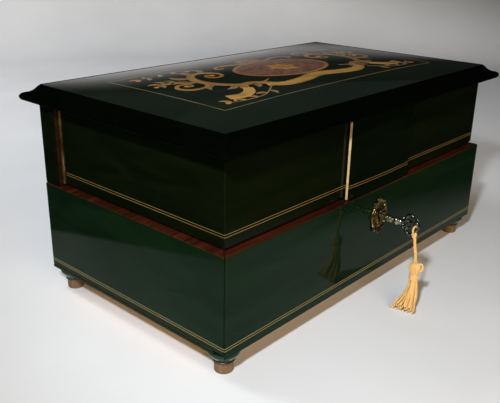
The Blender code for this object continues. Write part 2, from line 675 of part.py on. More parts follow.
def upper_case(look):
    """Back wall with corner posts, middle panel, well walls, divider and ring cushion."""
    z = (BASE_TOP + FIT, LID_Z - FIT)
    post_y = HALF_D - POST_L
    post_x = HALF_W - POST_IN
    inner_x, inner_y = UP_X - WING_T, HALF_D - WING_T
    outline = [(-post_x, post_y), (-inner_x, post_y), (-inner_x, inner_y), (inner_x, inner_y), (inner_x, post_y),
               (post_x, post_y), (post_x, HALF_D), (-post_x, HALF_D)]
    back = ease(add("upper_back", prism(outline, *z), look["green"]))
    seat_z = LID_AXIS_Z - LEAF_GAP - LEAF_T - FIT
    cut(back, "lid_hinge_seat", block((-LID_HINGE_L / 2 - FIT, LID_HINGE_L / 2 + FIT),
                                      (HALF_D - LEAF_DEPTH - FIT, HALF_D + 0.01), (seat_z, LID_Z + 0.01)))
    half = PANEL_W / 2
    back_y = UP_FRONT + WING_T + RUN
    bow = [(half - LIPPING_T - FIT, PANEL_FRONT)]
    steps = 12
    for step in range(1, steps):
        share = 1 - 2 * step / steps
        bow.append((share * (half - LIPPING_T - FIT), PANEL_FRONT - PANEL_BOW * (1 - share ** 2)))
    bow.append((-half + LIPPING_T + FIT, PANEL_FRONT))
    outline = bow + [(-half + LIPPING_T + FIT, back_y), (half - LIPPING_T - FIT, back_y)]
    panel_z = (BASE_TOP + RUN, LID_Z - 2 * FIT)
    ease(add("centre_panel", prism(outline, *panel_z), look["green"]), 0.0004)
    for side, name in ((-1, "panel_lipping_left"), (1, "panel_lipping_right")):
        lipping = block(mirrored(side, half - LIPPING_T, half), (PANEL_FRONT, back_y), panel_z)
        ease(add(name, lipping, look["maple"]), 0.0004)
    wall_z = (BASE_TOP + FIT, WELL_TOP)
    inside, outside = WELL_HALF_W, WELL_HALF_W + WELL_WALL
    front = (back_y + FIT, back_y + FIT + WELL_WALL)
    rear = inner_y - FIT
    walls = add("well_walls", prism([(-outside, front[0]), (outside, front[0]), (outside, rear), (inside, rear),
                                     (inside, front[1]), (-inside, front[1]), (-inside, rear),
                                     (-outside, rear)], *wall_z), look["mahogany"])
    cleats = bmesh.new()
    for side in (-1, 1):
        block(mirrored(side, inside - CLEAT_T, inside + WELL_WALL / 2), (DIVIDER_Y + WELL_WALL + FIT, rear),
              (COVER_Z - FIT - CLEAT_T, COVER_Z - FIT), cleats)
    join(walls, "cover_cleats", cleats)
    inner = (-inside + FIT, inside - FIT)
    add("well_divider", block(inner, (DIVIDER_Y, DIVIDER_Y + WELL_WALL), wall_z), look["mahogany"])
    cushion_y = (front[1] + 2 * FIT, DIVIDER_Y - FIT)
    rolls = 5
    pitch = (cushion_y[1] - cushion_y[0]) / rolls
    top = WELL_TOP - 0.018
    outline = [(cushion_y[1], BASE_TOP + FIT), (cushion_y[0], BASE_TOP + FIT)]
    for number in range(rolls):
        for step in range(7):
            angle = math.pi * (1 - (step + 0.5) / 7)
            centre = cushion_y[0] + (number + 0.5) * pitch
            outline.append((centre + pitch / 2 * math.cos(angle), top + 0.0085 * math.sin(angle)))
    add("ring_cushion", prism(outline, inner[0] + FIT, inner[1] - FIT, "X"), look["felt"], smooth=True)


def wing(side, name, look):
    """One wing: L-shaped wall, compartment with its floor, and felt lining."""
    body = name
    half = PANEL_W / 2
    end_x = half + FIT
    rear = HINGE_Y - HINGE_HALF_GAP
    outline = [(side * UP_X, UP_FRONT), (side * end_x, UP_FRONT), (side * end_x, UP_FRONT + WING_T),
               (side * (UP_X - WING_T), UP_FRONT + WING_T), (side * (UP_X - WING_T), rear), (side * UP_X, rear)]
    ease(add(name, prism(outline, WING_Z, WING_TOP), look["green"], body))
    x_out = UP_X - WING_T - FIT
    x_in = WELL_HALF_W + WELL_WALL + 0.0015
    y = (UP_FRONT + WING_T + FIT, rear - BIN_BACK_CLEAR)
    z = (WING_Z, WING_Z + BIN_H)
    tray = block(mirrored(side, x_in, x_out), y, z)
    tray = add(name + "_compartment", tray, look["mahogany"], body)
    hollow = (mirrored(side, x_in + BIN_WALL, x_out - BIN_WALL), (y[0] + BIN_WALL, y[1] - BIN_WALL),
              (z[0] + BIN_FLOOR, z[1] + 0.01))
    cut(tray, name + "_hollow", block(*hollow), body)
    liner_x = mirrored(side, x_in + BIN_WALL + FIT, x_out - BIN_WALL - FIT)
    liner_y = (y[0] + BIN_WALL + FIT, y[1] - BIN_WALL - FIT)
    liner_z = (z[0] + BIN_FLOOR + FIT, z[1] - 0.004)
    liner = add(name + "_lining", block(liner_x, liner_y, liner_z), look["felt"], body)
    cut(liner, name + "_lining_hollow", block((liner_x[0] + FELT, liner_x[1] - FELT),
                                              (liner_y[0] + FELT, liner_y[1] - FELT),
                                              (liner_z[0] + FELT, liner_z[1] + 0.01)), body)
    place = wing_hinge_matrix(side)
    fixed = range(0, WING_KNUCKLES, 2)
    moving = range(1, WING_KNUCKLES, 2)
    hinge_half(name + "_hinge_fixed", place, WING_HINGE_L, WING_KNUCKLES, fixed, 1, look, "case")
    hinge_half(name + "_hinge_moving", place, WING_HINGE_L, WING_KNUCKLES, moving, -1, look, body)
    hinge_pin(name + "_hinge_pin", place, WING_HINGE_L, look)


def lid(look):
    """Ogee moulding, crowned panel, backing board and mirror."""
    edge_x, edge_y = LID_HALF_W - MOULDING_W, LID_HALF_D - MOULDING_W
    rebate_x, rebate_y = HALF_W - MIRROR_REBATE_IN, HALF_D - MIRROR_REBATE_IN
    lip_x, lip_y = HALF_W - LID_LIP_IN, HALF_D - LID_LIP_IN
    top = LID_Z + LID_H
    rebate_z = top - PANEL_REBATE
    lip_z = LID_Z + LID_LIP_T
    rings = [rounded_rectangle(lip_x, lip_y, REBATE_CORNER_R, LID_Z)]
    for inset, rise in MOULDING:
        radius = LID_CORNER_R * (2 - inset)
        rings.append(rounded_rectangle(LID_HALF_W - inset * MOULDING_W, LID_HALF_D - inset * MOULDING_W, radius,
                                       LID_Z + rise * LID_H, LID_MID_Y))
    rings += [rounded_rectangle(edge_x, edge_y, LID_CORNER_R, rebate_z, LID_MID_Y),
              rounded_rectangle(rebate_x, rebate_y, REBATE_CORNER_R, rebate_z),
              rounded_rectangle(rebate_x, rebate_y, REBATE_CORNER_R, lip_z),
              rounded_rectangle(lip_x, lip_y, REBATE_CORNER_R, lip_z)]
    add("lid_frame", loft(rings, closed=True), look["black"], "lid", smooth=True)
    panel_x, panel_y, panel_r = edge_x - FIT, edge_y - FIT, LID_CORNER_R - FIT
    dome = [rounded_rectangle(panel_x, panel_y, panel_r, rebate_z + FIT, LID_MID_Y)]
    for share in CROWN_RINGS:
        level = top + LID_CROWN * (1 - share ** CROWN_POWER)
        dome.append(rounded_rectangle(panel_x * share, panel_y * share, panel_r * share, level, LID_MID_Y))
    add("lid_panel", loft(dome), look["green"], "lid", smooth=True)
    x = (-rebate_x + FIT, rebate_x - FIT)
    y = (-rebate_y + FIT, rebate_y - FIT)
    mirror_z = (lip_z + FIT, lip_z + FIT + MIRROR_T)
    add("lid_mirror", block(x, y, mirror_z), look["mirror"], "lid")
    board_z = (mirror_z[1] + FIT, rebate_z)
    add("lid_backing", block(x, y, board_z), look["mahogany"], "lid")
    place = Matrix(((0, 0, 1, -LID_HINGE_L / 2), (-1, 0, 0, LID_AXIS_Y), (0, -1, 0, LID_AXIS_Z), (0, 0, 0, 1)))
    fixed, moving = range(0, LID_KNUCKLES, 2), range(1, LID_KNUCKLES, 2)
    hinge_half("lid_hinge_fixed", place, LID_HINGE_L, LID_KNUCKLES, fixed, 1, look, "case")
    hinge_half("lid_hinge_moving", place, LID_HINGE_L, LID_KNUCKLES, moving, -1, look, "lid")
    hinge_pin("lid_hinge_pin", place, LID_HINGE_L, look)


def movement(look):
    """Comb movement: bed, barrel, winding arbor and key, cylinder, comb, governor and stop rod."""
    bed = block((-BED_W / 2, BED_W / 2), (BED_FRONT, BED_FRONT + BED_D), (BED_Z, BED_TOP))
    bed = add("movement_bed", bed, look["zinc"])
    boss_x, boss_y = BED_W / 2 - 0.005, (BED_FRONT + 0.005, BED_FRONT + BED_D - 0.005)
    bosses = bmesh.new()
    for x in (-boss_x, boss_x):
        for y in boss_y:
            rod(0.003, BASE_TOP + FIT, BED_Z + 0.001, (x, y, 0), shape=bosses)
    join(bed, "bed_bosses", bosses)
    cut(bed, "bed_arbor_hole", rod(ARBOR_R + 2 * FIT, BED_Z - 0.01, BED_TOP + 0.01, (BARREL_X, BARREL_Y, 0)))
    low = BED_TOP + FIT
    barrel = [(ARBOR_R + 2 * FIT, low), (BARREL_R, low), (BARREL_R, low + BARREL_H - 0.0012),
              (BARREL_R - 0.0012, low + BARREL_H), (0, low + BARREL_H), (0, low + BARREL_H - 0.003),
              (ARBOR_R + 2 * FIT, low + BARREL_H - 0.003)]
    add("spring_barrel", turned(barrel, (BARREL_X, BARREL_Y, 0), closed=True), look["brass"], smooth=True)
    bush = [(ARBOR_R + FIT, BASE_Z), (ARBOR_R + 0.0025, BASE_Z), (ARBOR_R + 0.0025, FLOOR_TOP),
            (ARBOR_R + FIT, FLOOR_TOP)]
    add("arbor_bush", turned(bush, (BARREL_X, BARREL_Y, 0), closed=True), look["brass"], smooth=True)
    key_z = (BASE_Z - 0.0012 - WIND_KEY_H, BASE_Z - 0.0012)
    arbor = rod(ARBOR_R, key_z[0] + 0.001, low + BARREL_H - 0.003 - 2 * FIT, (BARREL_X, BARREL_Y, 0))
    arbor = add("winding_key", arbor, look["brass"], "winding", smooth=True)
    vane = []
    for step in range(24):
        angle = step / 24 * math.tau
        waist = 0.62 + 0.38 * abs(math.cos(angle))
        vane.append((BARREL_X + WIND_KEY_W / 2 * math.cos(angle),
                     (key_z[0] + key_z[1]) / 2 + WIND_KEY_H / 2 * math.sin(angle) * waist))
    half_vane = ARBOR_R * 0.6
    join(arbor, "winding_vanes", prism(vane, BARREL_Y - half_vane, BARREL_Y + half_vane, "Y"), "winding")
    join(arbor, "winding_hub", rod(ARBOR_R * 1.9, *key_z, (BARREL_X, BARREL_Y, 0), segments=16), "winding")

    left, right = CYL_X0 - 0.0022, WHEEL_X + WHEEL_T + 0.0018
    plates, bores = bmesh.new(), bmesh.new()
    for x0, far_y in ((left - BRACKET_T, CYL_Y + 0.004), (right, WHEEL_Y + 0.003)):
        block((x0, x0 + BRACKET_T), (CYL_Y - 0.004, far_y), (BED_TOP - 0.001, AXLE_Z + 0.005), plates)
    rod(AXLE_R + FIT, left - 0.01, right + 0.01, (0, CYL_Y, AXLE_Z), "X", shape=bores)
    rod(AXLE_R + FIT, right - 0.001, right + 0.01, (0, WHEEL_Y, AXLE_Z), "X", shape=bores)
    join(bed, "axle_brackets", plates)
    cut(bed, "axle_bores", bores)
    cylinder = [(0, left - BRACKET_T), (AXLE_R, left - BRACKET_T), (AXLE_R, CYL_X0 - 0.001), (CYL_R, CYL_X0 - 0.001),
                (CYL_R, GEAR_X - 0.0003), (AXLE_R * 2, GEAR_X - 0.0003), (AXLE_R * 2, GEAR_X + GEAR_T + 0.0004),
                (AXLE_R, GEAR_X + GEAR_T + 0.0004), (AXLE_R, right + BRACKET_T), (0, right + BRACKET_T)]
    drum = turned(cylinder, (0, CYL_Y, AXLE_Z), "X")
    drum = add("cylinder", drum, look["brass"], "cylinder", smooth=True)
    gear = prism(gear_outline(CYL_TEETH, MODULE, (CYL_Y, AXLE_Z)), GEAR_X, GEAR_X + GEAR_T, "X")
    join(drum, "cylinder_gear", gear, "cylinder")
    wheel = [(0, GEAR_X - 0.001), (AXLE_R * 0.8, GEAR_X - 0.001), (AXLE_R * 0.8, right + BRACKET_T),
             (0, right + BRACKET_T)]
    wheel = turned(wheel, (0, WHEEL_Y, AXLE_Z), "X", 12)
    wheel = add("governor_wheel", wheel, look["brass"], "wheel", smooth=True)
    pinion_outline = gear_outline(PINION_TEETH, MODULE, (0, 0))
    half_tooth = math.pi / PINION_TEETH
    turned_teeth = [(WHEEL_Y + y * math.cos(half_tooth) - z * math.sin(half_tooth),
                     AXLE_Z + y * math.sin(half_tooth) + z * math.cos(half_tooth)) for y, z in pinion_outline]
    join(wheel, "governor_pinion", prism(turned_teeth, GEAR_X, GEAR_X + GEAR_T, "X"), "wheel")
    rim = gear_outline(WHEEL_TEETH, WHEEL_MODULE, (WHEEL_Y, AXLE_Z))
    join(wheel, "governor_rim", prism(rim, WHEEL_X, WHEEL_X + WHEEL_T, "X"), "wheel")

    arm_x = (right + BRACKET_T + 0.001, right + BRACKET_T + 0.0035)
    arm_low, arm_high = BED_TOP + FIT, FAN_Z - 0.0016
    shape = [(WORM_X - 0.003, arm_low), (arm_x[1], arm_low), (arm_x[1], arm_high), (WORM_X - 0.003, arm_high),
             (WORM_X - 0.003, arm_high - 0.0018), (arm_x[0], arm_high - 0.0018), (arm_x[0], arm_low + 0.0018),
             (WORM_X - 0.003, arm_low + 0.0018)]
    frame = prism(shape, WORM_Y - 0.0028, WORM_Y + 0.0028, "Y")
    frame = add("governor_frame", frame, look["zinc"])
    cut(frame, "governor_bearings", rod(0.0008 + FIT, arm_low + 0.0008, arm_high + 0.01, (WORM_X, WORM_Y, 0)))
    worm = [(0, arm_low + 0.0011), (0.0008, arm_low + 0.0011), (0.0008, arm_low + 0.0024)]
    turns = 7
    worm_low, worm_high = arm_low + 0.0024, arm_high - 0.0024
    for step in range(turns * 2 + 1):
        worm.append((WORM_R if step % 2 else WORM_R * 0.75, worm_low + (worm_high - worm_low) * step / (turns * 2)))
    worm += [(0.0008, worm_high), (0.0008, FAN_Z - 0.001), (0.003, FAN_Z - 0.001), (0.003, FAN_Z),
             (0.0012, FAN_Z + 0.0003), (0.0012, FAN_Z + FAN_H), (0, FAN_Z + FAN_H)]
    fan = turned(worm, (WORM_X, WORM_Y, 0), segments=12)
    fan = add("governor_fan", fan, look["brass"], "fan", smooth=True)
    vanes = block((WORM_X - FAN_R, WORM_X + FAN_R), (WORM_Y - 0.0004, WORM_Y + 0.0004),
                  (FAN_Z + 0.0006, FAN_Z + FAN_H - 0.0006))
    join(fan, "fan_vanes", vanes, "fan")

    comb_y = CYL_Y - CYL_R - 0.0005
    comb_z = (AXLE_Z - COMB_T / 2, AXLE_Z + COMB_T / 2)
    root = comb_y - COMB_L
    comb_x = (CYL_X0 + 0.0005, CYL_X0 + CYL_L - 0.0015)
    pitch = (comb_x[1] - comb_x[0]) / COMB_TEETH
    outline = [(comb_x[0], BED_FRONT + 0.001), (comb_x[1], BED_FRONT + 0.001)]
    slot = pitch * 0.3
    for number in reversed(range(COMB_TEETH)):
        x0 = comb_x[0] + number * pitch
        depth = root + 0.005 * number / COMB_TEETH
        outline += [(x0 + pitch, comb_y), (x0 + slot, comb_y)]
        outline += [(x0 + slot, depth), (x0, depth)]
    add("comb", prism(outline, *comb_z), look["steel"])
    seat = block((comb_x[0] - 0.001, comb_x[1] + 0.001), (BED_FRONT, root - 0.0005),
                 (BED_TOP - 0.001, comb_z[0] - FIT))
    join(bed, "comb_seat", seat)

    rod_y = WORM_Y
    rod_low = BED_TOP + FIT
    rod_top = LID_Z + LID_LIP_T - FIT
    stop = rod(STOP_ROD_R, rod_low, rod_top, (STOP_ROD_X, rod_y, 0))
    stop = add("stop_rod", stop, look["steel"], "stop", smooth=True)
    arm_y = rod_y - 0.0012
    arm = block((WORM_X + FAN_R + 0.0005, STOP_ROD_X), (arm_y, arm_y + 0.0024), (FAN_Z - 0.0006, FAN_Z + 0.0012))
    join(stop, "stop_arm", arm, "stop")
    cover_y = (DIVIDER_Y + WELL_WALL + FIT, HALF_D - WING_T - 2 * FIT)
    cover_x = WELL_HALF_W - FIT
    cover = block((-cover_x, cover_x), cover_y, (COVER_Z, COVER_Z + COVER_T))
    cover = ease(add("movement_cover", cover, look["clear"]))
    cut(cover, "stop_rod_hole", rod(STOP_ROD_R + 2 * FIT, COVER_Z - 0.01, COVER_Z + 0.01, (STOP_ROD_X, rod_y, 0)))


def build():
    """Make every piece of the box."""
    look = finishes()
    axis("case", (0, 0, 0))
    axis("drawer", (0, -INNER_D, DECK_Z / 2), "case")
    axis("bolt", (0, BOLT_Y[0], LOCK_TOP), "drawer")
    axis("key", (0, -HALF_D, KEY_Z), "drawer")
    axis("lid", (0, LID_AXIS_Y, LID_AXIS_Z), "case")
    axis("wing_left", (-HINGE_X, HINGE_Y, WING_Z), "case")
    axis("wing_right", (HINGE_X, HINGE_Y, WING_Z), "case")
    axis("winding", (BARREL_X, BARREL_Y, BASE_Z), "case")
    axis("cylinder", (0, CYL_Y, AXLE_Z), "case")
    axis("wheel", (0, WHEEL_Y, AXLE_Z), "case")
    axis("fan", (WORM_X, WORM_Y, FAN_Z), "case")
    axis("stop", (STOP_ROD_X, WORM_Y, FAN_Z), "case")
    base_case(look)
    feet(look)
    drawer(look)
    escutcheon(look)
    key(look)
    tassel(look)
    upper_case(look)
    wing(-1, "wing_left", look)
    wing(1, "wing_right", look)
    lid(look)
    movement(look)


build()
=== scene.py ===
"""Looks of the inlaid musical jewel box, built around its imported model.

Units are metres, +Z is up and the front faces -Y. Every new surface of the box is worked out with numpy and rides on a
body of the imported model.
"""
from __future__ import annotations

import logging
import math
from collections.abc import Callable, Sequence
from dataclasses import dataclass
from enum import Enum

import bpy
import numpy as np
from mathutils import Matrix, Vector

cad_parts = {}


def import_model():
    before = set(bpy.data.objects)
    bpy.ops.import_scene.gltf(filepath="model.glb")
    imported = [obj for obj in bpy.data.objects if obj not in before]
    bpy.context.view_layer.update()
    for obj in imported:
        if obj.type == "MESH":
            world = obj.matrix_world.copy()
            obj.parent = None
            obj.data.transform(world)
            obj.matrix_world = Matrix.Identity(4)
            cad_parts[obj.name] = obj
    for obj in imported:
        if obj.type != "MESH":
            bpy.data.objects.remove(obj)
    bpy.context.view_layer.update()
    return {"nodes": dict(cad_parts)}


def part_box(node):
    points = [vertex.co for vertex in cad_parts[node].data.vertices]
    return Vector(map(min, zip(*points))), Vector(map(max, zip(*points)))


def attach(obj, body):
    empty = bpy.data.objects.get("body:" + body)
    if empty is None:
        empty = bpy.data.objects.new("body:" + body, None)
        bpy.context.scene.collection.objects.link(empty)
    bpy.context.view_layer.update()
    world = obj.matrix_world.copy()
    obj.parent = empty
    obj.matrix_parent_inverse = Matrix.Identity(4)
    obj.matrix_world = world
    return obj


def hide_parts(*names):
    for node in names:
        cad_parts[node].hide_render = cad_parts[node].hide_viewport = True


LOG = logging.getLogger("music_box")

Colour = tuple[float, float, float]
Point = tuple[float, float, float]
TAU = 2 * math.pi


@dataclass(frozen=True)
class BoxSizes:
    """Main sizes of the box, repeated from the part's source."""

    half_w: float = 0.160
    half_d: float = 0.089
    mid_y: float = 0.01045
    foot_h: float = 0.016
    lid_z: float = 0.1414
    lid_h: float = 0.0112
    crown: float = 0.0048
    key_z: float = 0.0625
    gap: float = 0.0003

    @property
    def front(self) -> float:
        """Front face of the base."""
        return self.mid_y - self.half_d

    @property
    def lid_top(self) -> float:
        """Level of the lid frame's inner edge."""
        return self.lid_z + self.lid_h


BOX = BoxSizes()


# ---- surfaces -------------------------------------------------------------------------------------------------


class Along(Enum):
    """Axis that a turned or extruded shape stands on."""

    X = "X"
    Y = "Y"
    Z = "Z"


def smooth_curve(points: Sequence[Sequence[float]], per_span: int, closed: bool = False) -> np.ndarray:
    """Catmull-Rom curve through points: each span blends its four nearest points with cubic weights.

    Args:
        points: the curve's own points, of any dimension.
        per_span: how many steps each span takes.
        closed: whether the last point joins the first.

    Returns:
        The points read along the curve, one row each.
    """
    p = np.asarray(points, float)
    if closed:
        p = np.vstack([p[-1:], p, p[:2]])
    else:
        p = np.vstack([2 * p[:1] - p[1:2], p, 2 * p[-1:] - p[-2:-1]])
    t = np.linspace(0, 1, per_span, endpoint=False)[None, :, None]
    a, b, c, d = (p[i:len(p) - 3 + i, None, :] for i in range(4))
    rows = 0.5 * (2 * b + (c - a) * t + (2 * a - 5 * b + 4 * c - d) * t ** 2 + (3 * b - a - 3 * c + d) * t ** 3)
    curve = rows.reshape(-1, p.shape[1])
    return curve if closed else np.vstack([curve, p[-2:-1]])


def once_round(steps: int) -> np.ndarray:
    """Even angles once round, without the last."""
    return np.linspace(0, TAU, steps, endpoint=False)


def even_steps(curve: np.ndarray, count: int) -> np.ndarray:
    """The curve read at equal distances along its length.

    Args:
        curve: its points, one row each.
        count: how many points to read.

    Returns:
        The points read, one row each.
    """
    walked = np.concatenate([[0], np.cumsum(np.linalg.norm(np.diff(curve, axis=0), axis=1))])
    marks = np.linspace(0, walked[-1], count)
    return np.stack([np.interp(marks, walked, curve[:, axis]) for axis in range(curve.shape[1])], axis=1)


def unit(vectors: np.ndarray) -> np.ndarray:
    """Vectors of length one."""
    return vectors / np.maximum(np.linalg.norm(vectors, axis=-1, keepdims=True), 1e-12)


def headings(path: np.ndarray, loop: bool) -> np.ndarray:
    """Direction at each point: from the point before to the point after, brought to length one.

    Args:
        path: points of the path, one row each.
        loop: whether the path is closed.

    Returns:
        One direction for each point.
    """
    if loop:
        return unit(np.roll(path, -1, axis=0) - np.roll(path, 1, axis=0))
    return unit(np.gradient(path, axis=0))


class MeshStock:
    """Gathers worked-out surfaces and makes one object of them."""

    def __init__(self) -> None:
        """Start with nothing gathered."""
        self.verts: list[np.ndarray] = []
        self.faces: list[list[int]] = []
        self.uvs: list[np.ndarray] = []
        self.count = 0

    def skin(self, points: np.ndarray, loop: bool = False, capped: bool = True) -> MeshStock:
        """Add the closed surface through a grid of points.

        The grid's rows follow the path and its columns run round the section. Faces join neighbouring points,
        an open path's two ends are closed by fans to their middles, and the whole is turned so that its signed
        volume is positive, which points the faces outwards.

        Args:
            points: grid of shape (rows, columns, 3).
            loop: whether the last row joins the first.
            capped: whether the open ends are closed.

        Returns:
            This stock, so that calls can be chained.
        """
        rows, cols = points.shape[:2]
        index = np.arange(rows * cols).reshape(rows, cols)
        index = np.hstack([index, index[:, :1]])
        if loop:
            index = np.vstack([index, index[:1]])
        quads = np.stack([index[:-1, :-1], index[:-1, 1:], index[1:, 1:], index[1:, :-1]], axis=-1).reshape(-1, 4)
        grid = np.concatenate([points, points[:, :1]], axis=1)
        if loop:
            grid = np.concatenate([grid, grid[:1]], axis=0)
        along = np.concatenate([[0], np.cumsum(np.linalg.norm(np.diff(grid, axis=0), axis=2).mean(axis=1))])
        middle = grid[len(grid) // 2]
        across = np.concatenate([[0], np.cumsum(np.linalg.norm(np.diff(middle, axis=0), axis=1))])
        place = np.stack(np.meshgrid(along, across, indexing="ij"), axis=-1)
        uv = np.stack([place[:-1, :-1], place[:-1, 1:], place[1:, 1:], place[1:, :-1]], axis=2).reshape(-1, 4, 2)
        verts = points.reshape(-1, 3)
        fans = np.zeros((0, 3), int)
        if capped and not loop:
            first, last = points[0].mean(axis=0), points[-1].mean(axis=0)
            verts = np.vstack([verts, first, last])
            low = np.stack([index[0, 1:], index[0, :-1], np.full(cols, rows * cols)], axis=-1)
            high = np.stack([index[-1, :-1], index[-1, 1:], np.full(cols, rows * cols + 1)], axis=-1)
            fans = np.vstack([low, high])
        triangles = np.vstack([quads[:, :3], quads[:, [0, 2, 3]], fans])
        corners = (verts - verts.mean(axis=0))[triangles]
        volume = np.einsum("ij,ij->i", corners[:, 0], np.cross(corners[:, 1], corners[:, 2])).sum()
        if volume < 0:
            quads, uv, fans = quads[:, ::-1], uv[:, ::-1], fans[:, ::-1]
        self.verts.append(verts)
        self.faces += (quads + self.count).tolist() + (fans + self.count).tolist()
        self.uvs += [uv.reshape(-1, 2), verts[fans.reshape(-1)][:, :2]]
        self.count += len(verts)
        return self

    def object(self, name: str, finish: bpy.types.Material, sharp: float = 35.0) -> bpy.types.Object:
        """Make the gathered surfaces one object, at the origin, with its UV map.

        Args:
            name: the object's name.
            finish: its material.
            sharp: angle in degrees above which an edge stays sharp.

        Returns:
            The new object.
        """
        mesh = bpy.data.meshes.new(name)
        mesh.from_pydata(np.vstack(self.verts).tolist(), [], self.faces)
        layer = mesh.uv_layers.new(name="UVMap")
        layer.data.foreach_set("uv", np.vstack(self.uvs).astype(np.float32).ravel())
        mesh.shade_smooth()
        mesh.set_sharp_from_angle(angle=math.radians(sharp))
        mesh.materials.append(finish)
        made = bpy.data.objects.new(name, mesh)
        bpy.context.scene.collection.objects.link(made)
        return made

    def piece(self, name: str, finish: bpy.types.Material, body: str, slot: str, sharp: float = 35.0,
              replaces: Sequence[str] = ()) -> bpy.types.Object:
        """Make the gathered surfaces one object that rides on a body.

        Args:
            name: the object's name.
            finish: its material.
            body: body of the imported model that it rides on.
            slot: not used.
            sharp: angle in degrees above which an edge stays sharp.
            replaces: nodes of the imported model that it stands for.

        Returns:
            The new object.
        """
        made = self.object(name, finish, sharp)
        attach(made, body)
        if replaces:
            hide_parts(*replaces)
        LOG.info("piece %s on %s: %d faces", name, body, len(made.data.polygons))
        return made


def stand(points: np.ndarray, centre: Point, along: Along) -> np.ndarray:
    """Turn points made about +Z so that they stand on another axis, and move them to a centre.

    Args:
        points: the points, of any grid shape.
        centre: where their origin comes to lie.
        along: the axis that their +Z comes to lie along.

    Returns:
        The points, turned and moved.
    """
    x, y, z = points[..., 0], points[..., 1], points[..., 2]
    turned = {Along.Z: (x, y, z), Along.X: (z, x, y), Along.Y: (y, z, x)}[along]
    return np.stack(turned, axis=-1) + np.asarray(centre, float)


def turned(profile: Sequence[Sequence[float]], centre: Point, along: Along = Along.Z,
           steps: int = 48) -> np.ndarray:
    """Turned surface: (radius, height) points spun about an axis.

    Args:
        profile: (radius, height) points from one end to the other.
        centre: a point on the axis, from which heights count.
        along: the axis.
        steps: points round a turn.

    Returns:
        Grid of points, heights in rows and turns in columns.
    """
    line = np.asarray(profile, float)
    angle = once_round(steps)
    radius = np.broadcast_to(line[:, :1], (len(line), steps))
    height = np.broadcast_to(line[:, 1:2], radius.shape)
    return stand(np.stack([radius * np.cos(angle), radius * np.sin(angle), height], axis=-1), centre, along)


def swept(path: np.ndarray, section: np.ndarray, up: Point, size: np.ndarray | float = 1.0,
          twist: np.ndarray | float = 0.0, loop: bool = False) -> np.ndarray:
    """Section carried along a path: each row is the section turned square to the path and scaled.

    Args:
        path: points of the path, one row each.
        section: (side, up) points of the section.
        up: direction that the section's second axis leans to; never along the path.
        size: scale of the section at each point of the path.
        twist: turn of the section about the path at each point, in radians.
        loop: whether the path is closed.

    Returns:
        Grid of points, path in rows and section in columns.
    """
    way = headings(path, loop)
    side = unit(np.cross(way, np.asarray(up, float)))
    top = np.cross(side, way)
    size = np.broadcast_to(np.asarray(size, float), len(path))[:, None]
    turn = np.broadcast_to(np.asarray(twist, float), len(path))[:, None]
    a, b = section[None, :, 0] * size, section[None, :, 1] * size
    a, b = a * np.cos(turn) - b * np.sin(turn), a * np.sin(turn) + b * np.cos(turn)
    return path[:, None] + side[:, None] * a[..., None] + top[:, None] * b[..., None]


def circle(radius: float, steps: int, stretch: float = 1.0) -> np.ndarray:
    """Round section, or an oval one whose second axis is stretched by a share."""
    angle = once_round(steps)
    return np.stack([radius * np.cos(angle), radius * stretch * np.sin(angle)], axis=-1)


class RoundedRing:
    """Ring round a rectangle with round corners, as signs that pick the side and normals that give the corner."""

    def __init__(self, corner_steps: int = 8, side_steps: int = 12) -> None:
        """Work out the signs and normals of the ring's points once, for all sizes.

        Args:
            corner_steps: points round each corner.
            side_steps: points along each side.
        """
        angle = np.linspace(0, math.pi / 2, corner_steps)
        signs, normals = [], []
        corners = np.array([[1, 1], [-1, 1], [-1, -1], [1, -1]], float)
        for number in range(4):
            turn = angle + number * math.pi / 2
            normals.append(np.stack([np.cos(turn), np.sin(turn)], axis=-1))
            signs.append(np.repeat(corners[number][None], corner_steps, axis=0))
            share = np.linspace(0, 1, side_steps + 2)[1:-1, None]
            signs.append(corners[number] * (1 - share) + corners[(number + 1) % 4] * share)
            normals.append(np.repeat(normals[-1][-1:], side_steps, axis=0))
        self.sign = np.vstack(signs)
        self.normal = np.vstack(normals)

    def points(self, half_x: np.ndarray | float, half_y: np.ndarray | float, radius: np.ndarray | float,
               z: np.ndarray | float, behind: np.ndarray | float = 0.0) -> np.ndarray:
        """Rings of given sizes: each point is sign * (half size - radius) + normal * radius.

        Args:
            half_x: half width of each ring.
            half_y: half depth of each ring.
            radius: corner radius of each ring.
            z: level of each ring.
            behind: how far each ring's middle lies behind the box's.

        Returns:
            Grid of points, one row for each ring.
        """
        size = np.broadcast_arrays(*np.atleast_1d(half_x, half_y, radius, z, behind))
        half_x, half_y, radius, z, behind = (value[:, None] for value in size)
        x = self.sign[None, :, 0] * (half_x - radius) + self.normal[None, :, 0] * radius
        y = self.sign[None, :, 1] * (half_y - radius) + self.normal[None, :, 1] * radius
        return np.stack([x, y + BOX.mid_y + behind, np.broadcast_to(z, x.shape)], axis=-1)


def block(low: Point, high: Point, round_off: float = 0.0004) -> np.ndarray:
    """Board with eased edges: rounded rectangles stacked in z, drawn in at the top and bottom.

    Args:
        low: its lowest corner.
        high: its highest corner.
        round_off: radius of its edges.

    Returns:
        Grid of rings from the underside to the top.
    """
    lo, hi = np.asarray(low, float), np.asarray(high, float)
    half = (hi - lo) / 2
    middle = (hi + lo) / 2
    ease = round_off * 0.3
    inset = np.array([round_off, ease, 0, 0, ease, round_off])
    z = np.array([lo[2], lo[2] + ease, lo[2] + round_off, hi[2] - round_off, hi[2] - ease, hi[2]])
    ring = RoundedRing(4, 0).points(half[0] - inset, half[1] - inset, round_off, z)
    return ring + np.array([middle[0], middle[1] - BOX.mid_y, 0])


# ---- nodes and finishes ---------------------------------------------------------------------------------------

Socket = bpy.types.NodeSocket
Sockets = dict[str, Socket]

FILM_COAT_ROUGHNESS = 0.035
FILM_RISE = (0.06, 0.0006)


